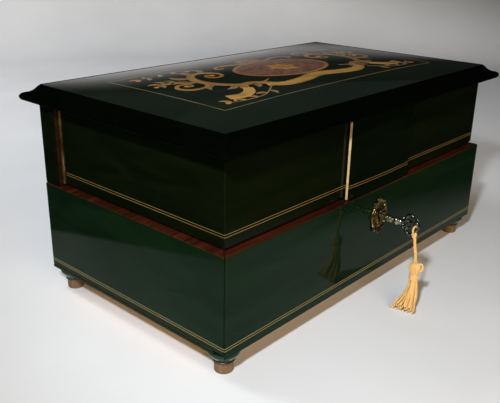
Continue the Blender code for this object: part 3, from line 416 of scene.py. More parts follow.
class Graph:
    """Short way to add and join the nodes of one tree."""

    def __init__(self, tree: bpy.types.NodeTree) -> None:
        """Keep the tree."""
        self.tree = tree

    def node(self, kind: str, inputs: dict | None = None, **settings: object) -> bpy.types.Node:
        """Add a node, set its options and fill its inputs.

        Args:
            kind: the node's type.
            inputs: values or sockets of its inputs, by name or number.
            settings: its options.

        Returns:
            The node.
        """
        made = self.tree.nodes.new(kind)
        for key, value in settings.items():
            setattr(made, key, value)
        for key, value in (inputs or {}).items():
            self.fill(made.inputs[key], value)
        return made

    def fill(self, socket: Socket, value: object) -> None:
        """Give an input a value, or join it to an output.

        Args:
            socket: the input.
            value: a number, a vector, a colour or the output of another node.
        """
        if isinstance(value, Socket):
            self.tree.links.new(value, socket)
        elif isinstance(value, (tuple, list)) and len(value) == 3 and socket.type == "RGBA":
            socket.default_value = (*value, 1.0)
        else:
            socket.default_value = value

    def math(self, operation: str, a: object, b: object = 0.0, clamp: bool = False) -> Socket:
        """Result of a Math node."""
        return self.node("ShaderNodeMath", {0: a, 1: b}, operation=operation, use_clamp=clamp).outputs[0]

    def ramp(self, value: object, low: float, high: float, out_low: float = 0.0, out_high: float = 1.0) -> Socket:
        """Value eased from one range to another."""
        given = {"Value": value, "From Min": low, "From Max": high, "To Min": out_low, "To Max": out_high}
        return self.node("ShaderNodeMapRange", given, interpolation_type="SMOOTHSTEP").outputs[0]

    def mix(self, share: object, a: object, b: object) -> Socket:
        """Colour between two colours."""
        return self.node("ShaderNodeMix", {"Factor": share, 6: a, 7: b}, data_type="RGBA").outputs[2]

    def noise(self, vector: object, scale: object, detail: float = 4.0, distortion: float = 0.0) -> Socket:
        """Strength of a Noise node."""
        given = {"Vector": vector, "Scale": scale, "Detail": detail, "Distortion": distortion}
        return self.node("ShaderNodeTexNoise", given).outputs[0]

    def split(self, vector: object) -> list[Socket]:
        """The three parts of a vector."""
        return list(self.node("ShaderNodeSeparateXYZ", {"Vector": vector}).outputs)

    def mapped(self, vector: object, scale: Point = (1, 1, 1), turn: Point = (0, 0, 0)) -> Socket:
        """Vector turned and stretched by a Mapping node."""
        return self.node("ShaderNodeMapping", {"Vector": vector, "Scale": scale, "Rotation": turn}).outputs[0]

    def use(self, group: bpy.types.NodeTree, **inputs: object) -> Sockets:
        """Place a shared group with its own values.

        Args:
            group: the node group.
            inputs: values or sockets of its inputs, an underscore standing for a space.

        Returns:
            The outputs by name.
        """
        made = self.node("ShaderNodeGroup", node_tree=group)
        for key, value in inputs.items():
            self.fill(made.inputs[key.replace("_", " ")], value)
        return {socket.name: socket for socket in made.outputs}


def shader_group(name: str, inputs: dict[str, Colour | float | None], outputs: Sequence[str],
                 fill: Callable[[Graph, Sockets], Sequence[Socket]]) -> bpy.types.NodeTree:
    """Make a shader node group.

    Args:
        name: the group's name.
        inputs: default of each input: a colour, a number, or None for a vector.
        outputs: name of each output, of which Colour is a colour and the rest are numbers.
        fill: function that works the outputs out from the inputs, in their order.

    Returns:
        The node group.
    """
    tree = bpy.data.node_groups.new(name, "ShaderNodeTree")
    for label, default in inputs.items():
        kind = "Vector" if default is None else "Color" if isinstance(default, tuple) else "Float"
        socket = tree.interface.new_socket(label, in_out="INPUT", socket_type="NodeSocket" + kind)
        if default is not None:
            socket.default_value = (*default, 1.0) if kind == "Color" else default
    for label in outputs:
        kind = "Color" if label == "Colour" else "Float"
        tree.interface.new_socket(label, in_out="OUTPUT", socket_type="NodeSocket" + kind)
    graph = Graph(tree)
    entry, leave = graph.node("NodeGroupInput"), graph.node("NodeGroupOutput")
    given = {socket.name: socket for socket in entry.outputs if socket.name}
    for label, value in zip(outputs, fill(graph, given), strict=True):
        graph.fill(leave.inputs[label], value)
    return tree


def fill_grain(g: Graph, given: Sockets) -> tuple[Socket, Socket]:
    """Wood: slow bands bent by noise, fine fibres and short dark pores, all drawn out along X.

    Args:
        g: the group's graph.
        given: the group's inputs.

    Returns:
        Colour and height.
    """
    vector = g.mapped(given["Vector"], (0.07, 1.0, 1.0))
    bands = g.noise(vector, given["Scale"], 5.0, 1.2)
    fibres = g.noise(vector, g.math("MULTIPLY", given["Scale"], 7.0), 3.0)
    pores = g.noise(g.mapped(given["Vector"], (0.22, 1.0, 1.0)), g.math("MULTIPLY", given["Scale"], 14.0), 2.0)
    tone = g.math("ADD", g.ramp(bands, 0.30, 0.72), g.math("MULTIPLY", g.math("SUBTRACT", fibres, 0.5), 0.7), True)
    pore = g.math("MULTIPLY", g.ramp(pores, 0.60, 0.70), given["Pores"])
    colour = g.mix(pore, g.mix(tone, given["Dark"], given["Light"]), given["Pore Colour"])
    return colour, g.math("SUBTRACT", fibres, g.math("MULTIPLY", pore, 0.8))


def fill_film(g: Graph, given: Sockets) -> tuple[Socket, Socket]:
    """Lacquer film: a slow swell, faint dust nibs, and smudges where hands and cloths have been.

    Args:
        g: the group's graph.
        given: the group's inputs.

    Returns:
        Height and smudge.
    """
    swell = g.noise(given["Vector"], 38.0, 2.0)
    nibs = g.ramp(g.noise(given["Vector"], 1400.0, 1.0), 0.74, 0.82)
    smudge = g.ramp(g.noise(g.mapped(given["Vector"], (1.0, 1.6, 1.6)), 16.0, 4.0, 0.8), 0.45, 0.75)
    return g.math("ADD", swell, g.math("MULTIPLY", nibs, 0.05)), g.math("MULTIPLY", smudge, given["Handled"])


def fill_inlay(g: Graph, given: Sockets) -> tuple[Socket]:
    """Double inlaid line: two stripes at equal distances from a middle level.

    Args:
        g: the group's graph.
        given: the group's inputs.

    Returns:
        The mask alone.
    """
    distance = g.math("ABSOLUTE", g.math("SUBTRACT", given["Level"], given["Middle"]))
    inner = g.ramp(distance, 0.00060, 0.00068)
    outer = g.ramp(distance, 0.00098, 0.00106, 1.0, 0.0)
    return (g.math("MULTIPLY", inner, outer),)


def fill_tarnish(g: Graph, given: Sockets) -> tuple[Socket, Socket, Socket]:
    """Metal: cloudy tarnish, fine scratches and a changing polish.

    Args:
        g: the group's graph.
        given: the group's inputs.

    Returns:
        Colour, roughness and height.
    """
    cloud = g.ramp(g.noise(given["Vector"], given["Scale"], 6.0, 0.6), 0.38, 0.68)
    scratch = g.noise(g.mapped(given["Vector"], (1.0, 1.0, 14.0)), g.math("MULTIPLY", given["Scale"], 9.0), 2.0)
    rough = g.math("ADD", given["Polish"], g.math("MULTIPLY", cloud, 0.16))
    rough = g.math("ADD", rough, g.math("MULTIPLY", g.ramp(scratch, 0.55, 0.75), 0.10))
    return g.mix(cloud, given["Bright"], given["Dull"]), rough, scratch


def fill_pile(g: Graph, given: Sockets) -> tuple[Socket, Socket]:
    """Felt or velvet: short tangled fibres over slow brushed patches.

    Args:
        g: the group's graph.
        given: the group's inputs.

    Returns:
        Colour and height.
    """
    fibre = g.noise(given["Vector"], given["Scale"], 6.0, 1.5)
    brushed = g.ramp(g.noise(given["Vector"], 45.0, 3.0, 0.5), 0.35, 0.7)
    tone = g.math("ADD", g.math("MULTIPLY", brushed, 0.5), g.math("MULTIPLY", g.ramp(fibre, 0.35, 0.7), 0.5))
    return g.mix(tone, given["Dark"], given["Light"]), fibre


def fill_yarn(g: Graph, given: Sockets) -> tuple[Socket, Socket]:
    """Spun yarn: slanting plies along a strand's own length, with loose fuzz and uneven dye. The plies' crests are
    painted lighter and their grooves darker, a painted highlight and painted shade.

    Args:
        g: the group's graph.
        given: the group's inputs.

    Returns:
        Colour and height.
    """
    along, across = g.split(given["Vector"])[:2]
    slant = g.math("ADD", g.math("MULTIPLY", along, given["Plies"]), g.math("MULTIPLY", across, given["Slant"]))
    ply = g.math("MULTIPLY", g.math("ADD", g.math("SINE", slant), 1.0), 0.5)
    fuzz = g.noise(given["Vector"], 3000.0, 3.0)
    dye = g.noise(given["Vector"], 260.0, 2.0)
    # painted highlight and shade: the colour follows the plies' crests and grooves, with the dye's own uneven tone on
    # top
    tone = g.math("ADD", g.math("MULTIPLY", ply, 0.55), g.math("MULTIPLY", dye, 0.6), True)
    return g.mix(tone, given["Dark"], given["Light"]), g.math("ADD", ply, g.math("MULTIPLY", fuzz, 0.4))


class Effects:
    """Shader groups that several finishes share, built once."""

    def __init__(self) -> None:
        """Build every group."""
        self.grain = shader_group(
            "wood grain", {"Vector": None, "Light": (0.3, 0.1, 0.04), "Dark": (0.1, 0.03, 0.01),
                           "Pore Colour": (0.03, 0.01, 0.005), "Scale": 60.0, "Pores": 0.5},
            ("Colour", "Height"), fill_grain)
        self.film = shader_group("lacquer film", {"Vector": None, "Handled": 1.0}, ("Height", "Smudge"), fill_film)
        self.inlay = shader_group("inlaid double line", {"Level": 0.0, "Middle": 0.0}, ("Mask",), fill_inlay)
        self.tarnish = shader_group(
            "metal tarnish", {"Vector": None, "Bright": (0.8, 0.6, 0.3), "Dull": (0.4, 0.3, 0.1), "Scale": 200.0,
                              "Polish": 0.2},
            ("Colour", "Roughness", "Height"), fill_tarnish)
        self.pile = shader_group(
            "felt pile", {"Vector": None, "Light": (0.4, 0.05, 0.05), "Dark": (0.2, 0.01, 0.01), "Scale": 1500.0},
            ("Colour", "Height"), fill_pile)
        self.yarn = shader_group(
            "spun yarn", {"Vector": None, "Light": (0.9, 0.75, 0.5), "Dark": (0.6, 0.4, 0.2), "Plies": 9000.0,
                          "Slant": 2600.0},
            ("Colour", "Height"), fill_yarn)


class MaterialGraph(Graph):
    """Graph of one material, with its shader and coordinates in place and the shared effects at hand."""

    def __init__(self, tree: bpy.types.NodeTree, effects: Effects) -> None:
        """Clear the tree, and join a shader to its output.

        Args:
            tree: the material's node tree.
            effects: the shared shader groups.
        """
        super().__init__(tree)
        tree.nodes.clear()
        self.effects = effects
        self.shader = self.node("ShaderNodeBsdfPrincipled")
        self.node("ShaderNodeOutputMaterial", {"Surface": self.shader.outputs[0]})
        place = self.node("ShaderNodeTexCoord").outputs
        self.here, self.strip = place["Object"], place["UV"]

    def feed(self, **inputs: object) -> None:
        """Give the shader's inputs values or sockets, an underscore standing for a space."""
        for key, value in inputs.items():
            self.fill(self.shader.inputs[key.replace("_", " ")], value)

    def bump(self, height: Socket, strength: float, distance: float) -> None:
        """Feed a height to the shader's normal through a Bump node."""
        given = {"Height": height, "Strength": strength, "Distance": distance}
        self.feed(Normal=self.node("ShaderNodeBump", given).outputs[0])


@dataclass(frozen=True)
class Side:
    """Test that a point lies beyond a limit along one axis; absolute takes the size of the coordinate."""

    axis: int
    limit: float
    sign: float = 1.0
    absolute: bool = False

    def test(self, g: Graph, parts: list[Socket]) -> Socket:
        """One beyond the limit and nought before it."""
        value = g.math("ABSOLUTE", parts[self.axis]) if self.absolute else parts[self.axis]
        return g.math("GREATER_THAN", g.math("MULTIPLY", value, self.sign), self.limit)


@dataclass(frozen=True)
class Finish:
    """A finish with its own material; the kinds below fill in its nodes."""

    name: str

    def material(self, effects: Effects) -> bpy.types.Material:
        """Make the material and let the kind of finish fill its nodes.

        Args:
            effects: the shared shader groups.

        Returns:
            The material.
        """
        made = bpy.data.materials.new(self.name)
        made.use_nodes = True
        self.fill(MaterialGraph(made.node_tree, effects))
        return made

    def fill(self, g: MaterialGraph) -> None:
        """Fill the material's nodes."""
        raise NotImplementedError


@dataclass(frozen=True)
class Lacquer(Finish):
    """Glossy coloured lacquer over veneer, with an optional inlaid double line and bare wood elsewhere."""

    colour: Colour = (0.0080, 0.0190, 0.0105)
    deep: Colour = (0.0050, 0.0125, 0.0068)
    # bare wood of the lacquered boards, such as the base's top ledge: mahogany painted much darker than the deck, a
    # painted shade under the wings and lid
    wood_light: Colour = (0.052, 0.012, 0.0045)
    wood_dark: Colour = (0.016, 0.0042, 0.0020)
    wood_scale: float = 150.0
    line: float | None = None
    gold_light: Colour = (0.24, 0.150, 0.048)
    gold_dark: Colour = (0.11, 0.062, 0.018)
    sides: tuple[Side, ...] = ()
    within: tuple[Side, ...] = ()
    gloss: float = 0.0
    shine: float = 0.075
    tint: Colour = (0.50, 1.0, 0.72)
    clean: float = 0.05
    smudged: float = 0.11

    def fill(self, g: MaterialGraph) -> None:
        """Lacquer beyond any of the sides, bare polished wood elsewhere, and the double line at its level.

        Args:
            g: the material's graph.
        """
        film = g.use(g.effects.film, Vector=g.here)
        veneer = g.noise(g.mapped(g.here, (0.5, 1.0, 4.0)), 22.0, 5.0, 0.6)
        colour = g.mix(g.ramp(veneer, 0.3, 0.7), self.deep, self.colour)
        parts = g.split(g.here)
        if self.line is not None:
            mask = g.use(g.effects.inlay, Level=parts[2], Middle=self.line)["Mask"]
            worn = g.math("MULTIPLY", mask, g.ramp(g.noise(g.here, 240.0, 3.0), 0.2, 0.5, 0.75, 1.0))
            gold = g.mix(g.noise(g.mapped(g.here, (0.2, 0.2, 1.0)), 180.0), self.gold_dark, self.gold_light)
            colour = g.mix(worn, colour, gold)
        if self.sides:
            outside = 0.0
            for side in self.sides:
                outside = g.math("MAXIMUM", outside, side.test(g, parts))
            for side in self.within:
                outside = g.math("MULTIPLY", outside, side.test(g, parts))
            grain = g.use(g.effects.grain, Vector=g.here, Light=self.wood_light, Dark=self.wood_dark,
                          Scale=self.wood_scale)
            colour = g.mix(outside, grain["Colour"], colour)
        g.feed(Base_Color=colour, Roughness=g.ramp(film["Smudge"], 0.0, 1.0, self.clean, self.smudged),
               Specular_IOR_Level=self.shine, Specular_Tint=self.tint, Coat_Weight=self.gloss,
               Coat_Roughness=FILM_COAT_ROUGHNESS)
        g.bump(film["Height"], *FILM_RISE)


@dataclass(frozen=True)
class Wood(Finish):
    """Polished or bare wood with its grain along X, or along another axis by its turn."""

    light: Colour = (0.24, 0.075, 0.028)
    dark: Colour = (0.095, 0.026, 0.010)
    pore: Colour = (0.030, 0.010, 0.005)
    scale: float = 110.0
    turn: Point = (0.0, 0.0, 0.0)
    roughness: float = 0.42
    coat: float = 0.25
    coat_roughness: float = 0.18

    def fill(self, g: MaterialGraph) -> None:
        """Grain drives the colour, the roughness and the bump.

        Args:
            g: the material's graph.
        """
        grain = g.use(g.effects.grain, Vector=g.mapped(g.here, turn=self.turn), Light=self.light, Dark=self.dark,
                      Pore_Colour=self.pore, Scale=self.scale)
        rough = g.ramp(grain["Height"], 0.0, 1.0, self.roughness + 0.08, self.roughness - 0.06)
        g.feed(Base_Color=grain["Colour"], Roughness=rough, Coat_Weight=self.coat,
               Coat_Roughness=self.coat_roughness)
        g.bump(grain["Height"], 0.25, 0.0002)


@dataclass(frozen=True)
class Veneer(Finish):
    """Inlaid veneer under the lid's lacquer, its grain along the strip and scorched in places."""

    light: Colour = (0.62, 0.40, 0.13)
    dark: Colour = (0.34, 0.17, 0.045)
    scorch: Colour = (0.10, 0.040, 0.012)
    burl: float = 0.0
    scale: float = 260.0
    pores: float = 0.35
    handled: float = 0.6
    shine: float = 0.25

    def fill(self, g: MaterialGraph) -> None:
        """Grain from the strip's own UV map, burl eyes where asked, and the same gloss as the lid.

        Args:
            g: the material's graph.
        """
        colour = g.use(g.effects.grain, Vector=g.strip, Light=self.light, Dark=self.dark, Pore_Colour=self.dark,
                       Scale=self.scale, Pores=self.pores)["Colour"]
        if self.burl:
            eyes = g.node("ShaderNodeTexVoronoi", {"Vector": g.here, "Scale": 150.0, "Randomness": 1.0}).outputs[0]
            swirl = g.noise(g.here, 90.0, 6.0, 3.5)
            figure = g.math("ADD", g.ramp(swirl, 0.35, 0.65), g.ramp(eyes, 0.25, 0.0, 0.0, -0.7), True)
            colour = g.mix(self.burl, colour, g.mix(figure, self.dark, self.light))
        shade = g.ramp(g.noise(g.here, 120.0, 3.0, 0.4), 0.52, 0.78, 0.0, 0.55)
        film = g.use(g.effects.film, Vector=g.here, Handled=self.handled)
        g.feed(Base_Color=g.mix(shade, colour, self.scorch), Roughness=g.ramp(film["Smudge"], 0.0, 1.0, 0.30, 0.42),
               Coat_Weight=1.0, Coat_Roughness=FILM_COAT_ROUGHNESS, Specular_IOR_Level=self.shine)
        g.bump(film["Height"], *FILM_RISE)


@dataclass(frozen=True)
class Metal(Finish):
    """Polished metal with cloudy tarnish."""

    bright: Colour = (0.83, 0.62, 0.28)
    dull: Colour = (0.48, 0.32, 0.12)
    polish: float = 0.16
    scale: float = 170.0
    relief: float = 0.12

    def fill(self, g: MaterialGraph) -> None:
        """Tarnish drives the colour, the roughness and faint scratches.

        Args:
            g: the material's graph.
        """
        tarnish = g.use(g.effects.tarnish, Vector=g.here, Bright=self.bright, Dull=self.dull, Scale=self.scale,
                        Polish=self.polish)
        g.feed(Base_Color=tarnish["Colour"], Roughness=tarnish["Roughness"], Metallic=1.0)
        g.bump(tarnish["Height"], self.relief, 0.0001)


@dataclass(frozen=True)
class Cloth(Finish):
    """Felt or velvet pile."""

    light: Colour = (0.36, 0.030, 0.036)
    dark: Colour = (0.16, 0.008, 0.012)
    scale: float = 1500.0
    sheen: float = 0.6

    def fill(self, g: MaterialGraph) -> None:
        """Pile drives colour and bump; the sheen lights the fibres' tips.

        Args:
            g: the material's graph.
        """
        pile = g.use(g.effects.pile, Vector=g.here, Light=self.light, Dark=self.dark, Scale=self.scale)
        g.feed(Base_Color=pile["Colour"], Roughness=0.95, Sheen_Weight=self.sheen, Sheen_Roughness=0.4,
               Specular_IOR_Level=0.2)
        g.bump(pile["Height"], 0.6, 0.0003)


@dataclass(frozen=True)
class Yarn(Finish):
    """Spun silk or cotton, its plies slanting along the strand's own UV map."""

    # tones between which the plies' painted highlight and shade and the uneven dye run
    light: Colour = (0.80, 0.53, 0.20)
    dark: Colour = (0.46, 0.22, 0.045)
    plies: float = 9000.0
    slant: float = 2600.0

    def fill(self, g: MaterialGraph) -> None:
        """Plies drive the bump and a painted highlight and shade in the colour, with a silk sheen.

        Args:
            g: the material's graph.
        """
        yarn = g.use(g.effects.yarn, Vector=g.strip, Light=self.light, Dark=self.dark, Plies=self.plies,
                     Slant=self.slant)
        g.feed(Base_Color=yarn["Colour"], Roughness=0.62, Sheen_Weight=0.35, Sheen_Roughness=0.35)
        g.bump(yarn["Height"], 0.5, 0.0001)


@dataclass(frozen=True)
class Glass(Finish):
    """Silvered mirror glass, or clear glass where it lets light through."""

    colour: Colour = (0.88, 0.90, 0.90)
    clean: float = 0.01
    wiped: float = 0.05
    clear: bool = False

    def fill(self, g: MaterialGraph) -> None:
        """Faint wiping marks change the roughness.

        Args:
            g: the material's graph.
        """
        film = g.use(g.effects.film, Vector=g.here)
        g.feed(Base_Color=self.colour, Roughness=g.ramp(film["Smudge"], 0.0, 1.0, self.clean, self.wiped),
               Transmission_Weight=float(self.clear), Metallic=float(not self.clear), IOR=1.49)


@dataclass(frozen=True)
class Edge:
    """Straight edge on the floor: the distance across * x + along * y over which the paper, seen in reflections, goes
    from painted dark to pale.
    """

    across: float
    along: float
    start: float
    end: float


@dataclass(frozen=True)
class Paper(Finish):
    """Matt studio sweep with a faint uneven tone. It is painted darker towards its upper edge and towards +x and -y, a
    painted shade for the lamps' falloff. In reflections only, it is painted dark past two edges, a painted dark
    reflection in the lacquer."""

    colour: Colour = (0.78, 0.79, 0.81)
    # colour of the painted shade and of the painted dark reflection
    shade: Colour = (0.02, 0.02, 0.02)
    uneven: float = 0.94
    # heights and slant of the painted shade, and the edges past which reflections are painted dark
    painted_shade_from: float = 0.12
    painted_shade_to: float = 0.42
    side_shade_rate: float = 0.20
    side_shade_least: float = -0.45
    edges: tuple[Edge, ...] = (Edge(0.932, -0.362, -0.275, -0.266), Edge(-0.347, 0.938, -0.240, -0.155))

    def fill(self, g: MaterialGraph) -> None:
        """Slow tone changes over the paper. Painted shade comes in with the level and towards +x and -y, and for glossy
        rays only there is a painted dark reflection past each edge.

        The dish's faces point outwards, so its inside shows their backs. From outside, and from below the floor,
        it is see-through, and a view from beyond its wall still shows the box.

        Args:
            g: the material's graph.
        """
        x, y, level = g.split(g.here)
        cloud = g.ramp(g.noise(g.here, 6.0, 5.0), 0.3, 0.7)
        paper = g.mix(cloud, tuple(value * self.uneven for value in self.colour), self.colour)
        # painted shade: darker towards +x and -y, standing in for the lamps' falloff
        painted_side_shade = g.math("MULTIPLY", g.math("MAXIMUM", g.math("SUBTRACT", x, y), self.side_shade_least), self.side_shade_rate)
        # painted shade: darker with height up the dish's wall
        painted_light_share = g.ramp(g.math("ADD", level, painted_side_shade), self.painted_shade_from, self.painted_shade_to, 1.0, 0.0)
        seen_direct = g.math("SUBTRACT", 1.0, g.node("ShaderNodeLightPath").outputs["Is Glossy Ray"])
        # painted reflection: to glossy rays only, the paper is painted dark past each edge
        for edge in self.edges:
            distance = g.math("ADD", g.math("MULTIPLY", x, edge.across), g.math("MULTIPLY", y, edge.along))
            painted_light_share = g.math("MULTIPLY", painted_light_share, g.math("MAXIMUM", g.ramp(distance, edge.start, edge.end), seen_direct))
        inside = g.node("ShaderNodeNewGeometry").outputs["Backfacing"]
        g.feed(Base_Color=g.mix(painted_light_share, self.shade, paper), Roughness=0.8, Specular_IOR_Level=0.25, Alpha=inside)


class Look(Enum):
    """Every finish on the box and its floor."""

    BASE = Lacquer("base_lacquer", colour=(0.0038, 0.0122, 0.0046), deep=(0.0024, 0.0080, 0.0030), line=0.0230,
                   gold_light=(0.34, 0.28, 0.12), gold_dark=(0.19, 0.15, 0.060),
                   within=(Side(2, -0.0826, sign=-1.0),),
                   sides=(Side(0, 0.1515, absolute=True), Side(1, 0.0690, sign=-1.0), Side(1, 0.0909)))
    # the upper case's lacquers below are painted darker and more olive than the base's green: painted shade under the
    # lid's overhang and a painted warm reflection
    UPPER = Lacquer("upper_lacquer", colour=(0.0031, 0.0052, 0.0014), deep=(0.0018, 0.0032, 0.0009), shine=0.085,
                    line=0.0930, within=(Side(2, -0.1404, sign=-1.0),),
                    sides=(Side(0, 0.1547, absolute=True), Side(1, 0.0733, sign=-1.0)))
    # painted shade: the rear post's bare wood is painted about a third darker than the other bare wood, standing in for
    # the hinge's shadow
    REAR = Lacquer("rear_lacquer", colour=(0.0026, 0.0050, 0.0018), deep=(0.0015, 0.0030, 0.0011), shine=0.06,
                   within=(Side(2, -0.1404, sign=-1.0), Side(1, 0.0838)),
                   sides=(Side(0, 0.1578, absolute=True), Side(1, 0.0990)),
                   wood_light=(0.034, 0.009, 0.004), wood_dark=(0.012, 0.0035, 0.0018))
    PANEL = Lacquer("panel_lacquer", colour=(0.0022, 0.0044, 0.0015), deep=(0.0012, 0.0026, 0.0010), shine=0.05,
                    line=0.0930, within=(Side(2, -0.1404, sign=-1.0),), sides=(Side(1, 0.0676, sign=-1.0),))
    # painted shade: only a narrow front strip of each lipping's end face shows pale wood; the rest of that face is
    # painted with the dark panel lacquer to stand in for shadow
    LIPPING = Lacquer("pale_lipping", colour=(0.0022, 0.0044, 0.0015), deep=(0.0012, 0.0026, 0.0010), shine=0.05,
                      line=0.0930, sides=(Side(1, 0.0767, sign=-1.0), Side(1, -0.0750)),
                      wood_light=(0.60, 0.44, 0.25), wood_dark=(0.42, 0.28, 0.13))
    LID_TOP = Lacquer("lid_lacquer", colour=(0.0042, 0.0096, 0.0044), deep=(0.0027, 0.0064, 0.0030),
                      gloss=0.9, shine=0.0)
    LID_FRAME = Lacquer("black_lacquer", colour=(0.0007, 0.0012, 0.0007), deep=(0.0004, 0.0008, 0.0004),
                        gloss=0.03, shine=0.0)
    FOOT = Lacquer("foot_lacquer", colour=(0.010, 0.024, 0.014), deep=(0.007, 0.016, 0.010), shine=0.3)
    MAHOGANY = Wood("mahogany")
    BOTTOM = Lacquer("bottom_board", colour=(0.0038, 0.0122, 0.0046), deep=(0.0024, 0.0080, 0.0030),
                     sides=(Side(0, 0.1594, absolute=True), Side(1, 0.0685, sign=-1.0), Side(1, 0.0989)),
                     wood_light=(0.80, 0.46, 0.16), wood_dark=(0.60, 0.30, 0.085))
    BARE = Wood("drawer_wood", light=(0.42, 0.24, 0.11), dark=(0.24, 0.12, 0.05), pore=(0.12, 0.06, 0.03), coat=0.1,
                roughness=0.5)
    PAD = Wood("foot_pad", light=(0.17, 0.100, 0.045), dark=(0.11, 0.062, 0.025), pore=(0.09, 0.045, 0.02),
               turn=(0.0, math.pi / 2, 0.0), scale=240.0, roughness=0.6, coat=0.0)
    FOOT_RING = Wood("foot_ring", light=(0.05, 0.022, 0.012), dark=(0.022, 0.010, 0.006))
    RIBBON = Veneer("ribbon_veneer", light=(0.62, 0.36, 0.085), dark=(0.44, 0.23, 0.050), scorch=(0.17, 0.07, 0.02))
    GOLD = Veneer("scroll_veneer", light=(0.48, 0.26, 0.062), dark=(0.27, 0.125, 0.028))
    BURL = Veneer("burl_veneer", light=(0.30, 0.145, 0.080), dark=(0.13, 0.048, 0.026), burl=0.85,
                  scorch=(0.07, 0.022, 0.012))
    LEAF = Veneer("leaf_veneer", light=(0.36, 0.23, 0.085), dark=(0.20, 0.11, 0.035))
    ORANGE = Veneer("flower_veneer", light=(0.62, 0.26, 0.06), dark=(0.40, 0.13, 0.03))
    DUSK = Veneer("dark_veneer", light=(0.075, 0.030, 0.014), dark=(0.035, 0.014, 0.007))
    STRING = Veneer("string_veneer", light=(0.21, 0.145, 0.050), dark=(0.13, 0.080, 0.028), scorch=(0.09, 0.05, 0.02))
    BRASS = Metal("brass")
    OLD_BRASS = Metal("aged_brass", bright=(0.26, 0.165, 0.036), dull=(0.026, 0.016, 0.004), polish=0.26, scale=320.0)
    HINGE = Metal("hinge_brass", bright=(0.36, 0.22, 0.075), dull=(0.060, 0.026, 0.010), polish=0.34, scale=75.0)
    NICKEL = Metal("nickel", bright=(0.52, 0.48, 0.30), dull=(0.15, 0.14, 0.08), polish=0.20, scale=260.0)
    BOW = Metal("dark_nickel", bright=(0.17, 0.18, 0.13), dull=(0.045, 0.052, 0.040), polish=0.18, scale=260.0)
    STEEL = Metal("steel", bright=(0.58, 0.58, 0.60), dull=(0.36, 0.36, 0.38), polish=0.24)
    CAST = Metal("cast_metal", bright=(0.66, 0.55, 0.32), dull=(0.46, 0.37, 0.20), polish=0.34, scale=420.0, relief=0.5)
    FELT = Cloth("red_felt")
    VELVET = Cloth("red_velvet", light=(0.42, 0.028, 0.040), dark=(0.14, 0.006, 0.010), scale=1100.0, sheen=1.0)
    SILK = Yarn("cream_silk")
    CORD = Yarn("cream_cord", plies=5200.0, slant=0.0)
    MIRROR = Glass("mirror")
    CLEAR = Glass("clear_cover", colour=(0.95, 0.98, 0.97), clean=0.02, wiped=0.06, clear=True)
    PAPER = Paper("studio_paper")


class Palette:
    """Materials of the box, each made once when it is first asked for."""

    def __init__(self) -> None:
        """Build the shared effects."""
        self.effects = Effects()
        self.made: dict[Look, bpy.types.Material] = {}

    def __getitem__(self, look: Look) -> bpy.types.Material:
        """The material of a finish."""
        if look not in self.made:
            self.made[look] = look.value.material(self.effects)
        return self.made[look]


class Assembly:
    """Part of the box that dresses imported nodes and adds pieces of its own."""

    def __init__(self, nodes: dict[str, bpy.types.Object], palette: Palette) -> None:
        """Keep what the part is made with.

        Args:
            nodes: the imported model's objects by name.
            palette: the materials.
        """
        self.nodes = nodes
        self.palette = palette

    def dress(self, look: Look, *names: str) -> None:
        """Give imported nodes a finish.

        Args:
            look: the finish.
            names: the nodes.
        """
        for name in names:
            for slot in self.nodes[name].material_slots:
                slot.material = self.palette[look]
            LOG.info("node %s: %s", name, look.value.name)


# ---- studio ---------------------------------------------------------------------------------------------------


@dataclass(frozen=True)
class Lamp:
    """Light that faces a target: a soft square, or a small beam that falls off softly away from its target."""

    name: str
    place: Point
    target: Point
    size: float
    power: float
    colour: Colour
    beam: float | None = None

    def hang(self) -> None:
        """Make the light and place it; the lacquer mirrors only a beam."""
        if self.beam is None:
            data = bpy.data.lights.new(self.name, "AREA")
            data.size = self.size
        else:
            data = bpy.data.lights.new(self.name, "SPOT")
            data.shadow_soft_size = self.size
            data.spot_size = math.radians(self.beam)
            data.spot_blend = 1.0
        data.energy = self.power
        data.color = self.colour
        light = bpy.data.objects.new(self.name, data)
        light.location = self.place
        light.rotation_euler = (Vector(self.target) - Vector(self.place)).to_track_quat("-Z", "Y").to_euler()
        light.visible_glossy = self.beam is not None
        bpy.context.scene.collection.objects.link(light)


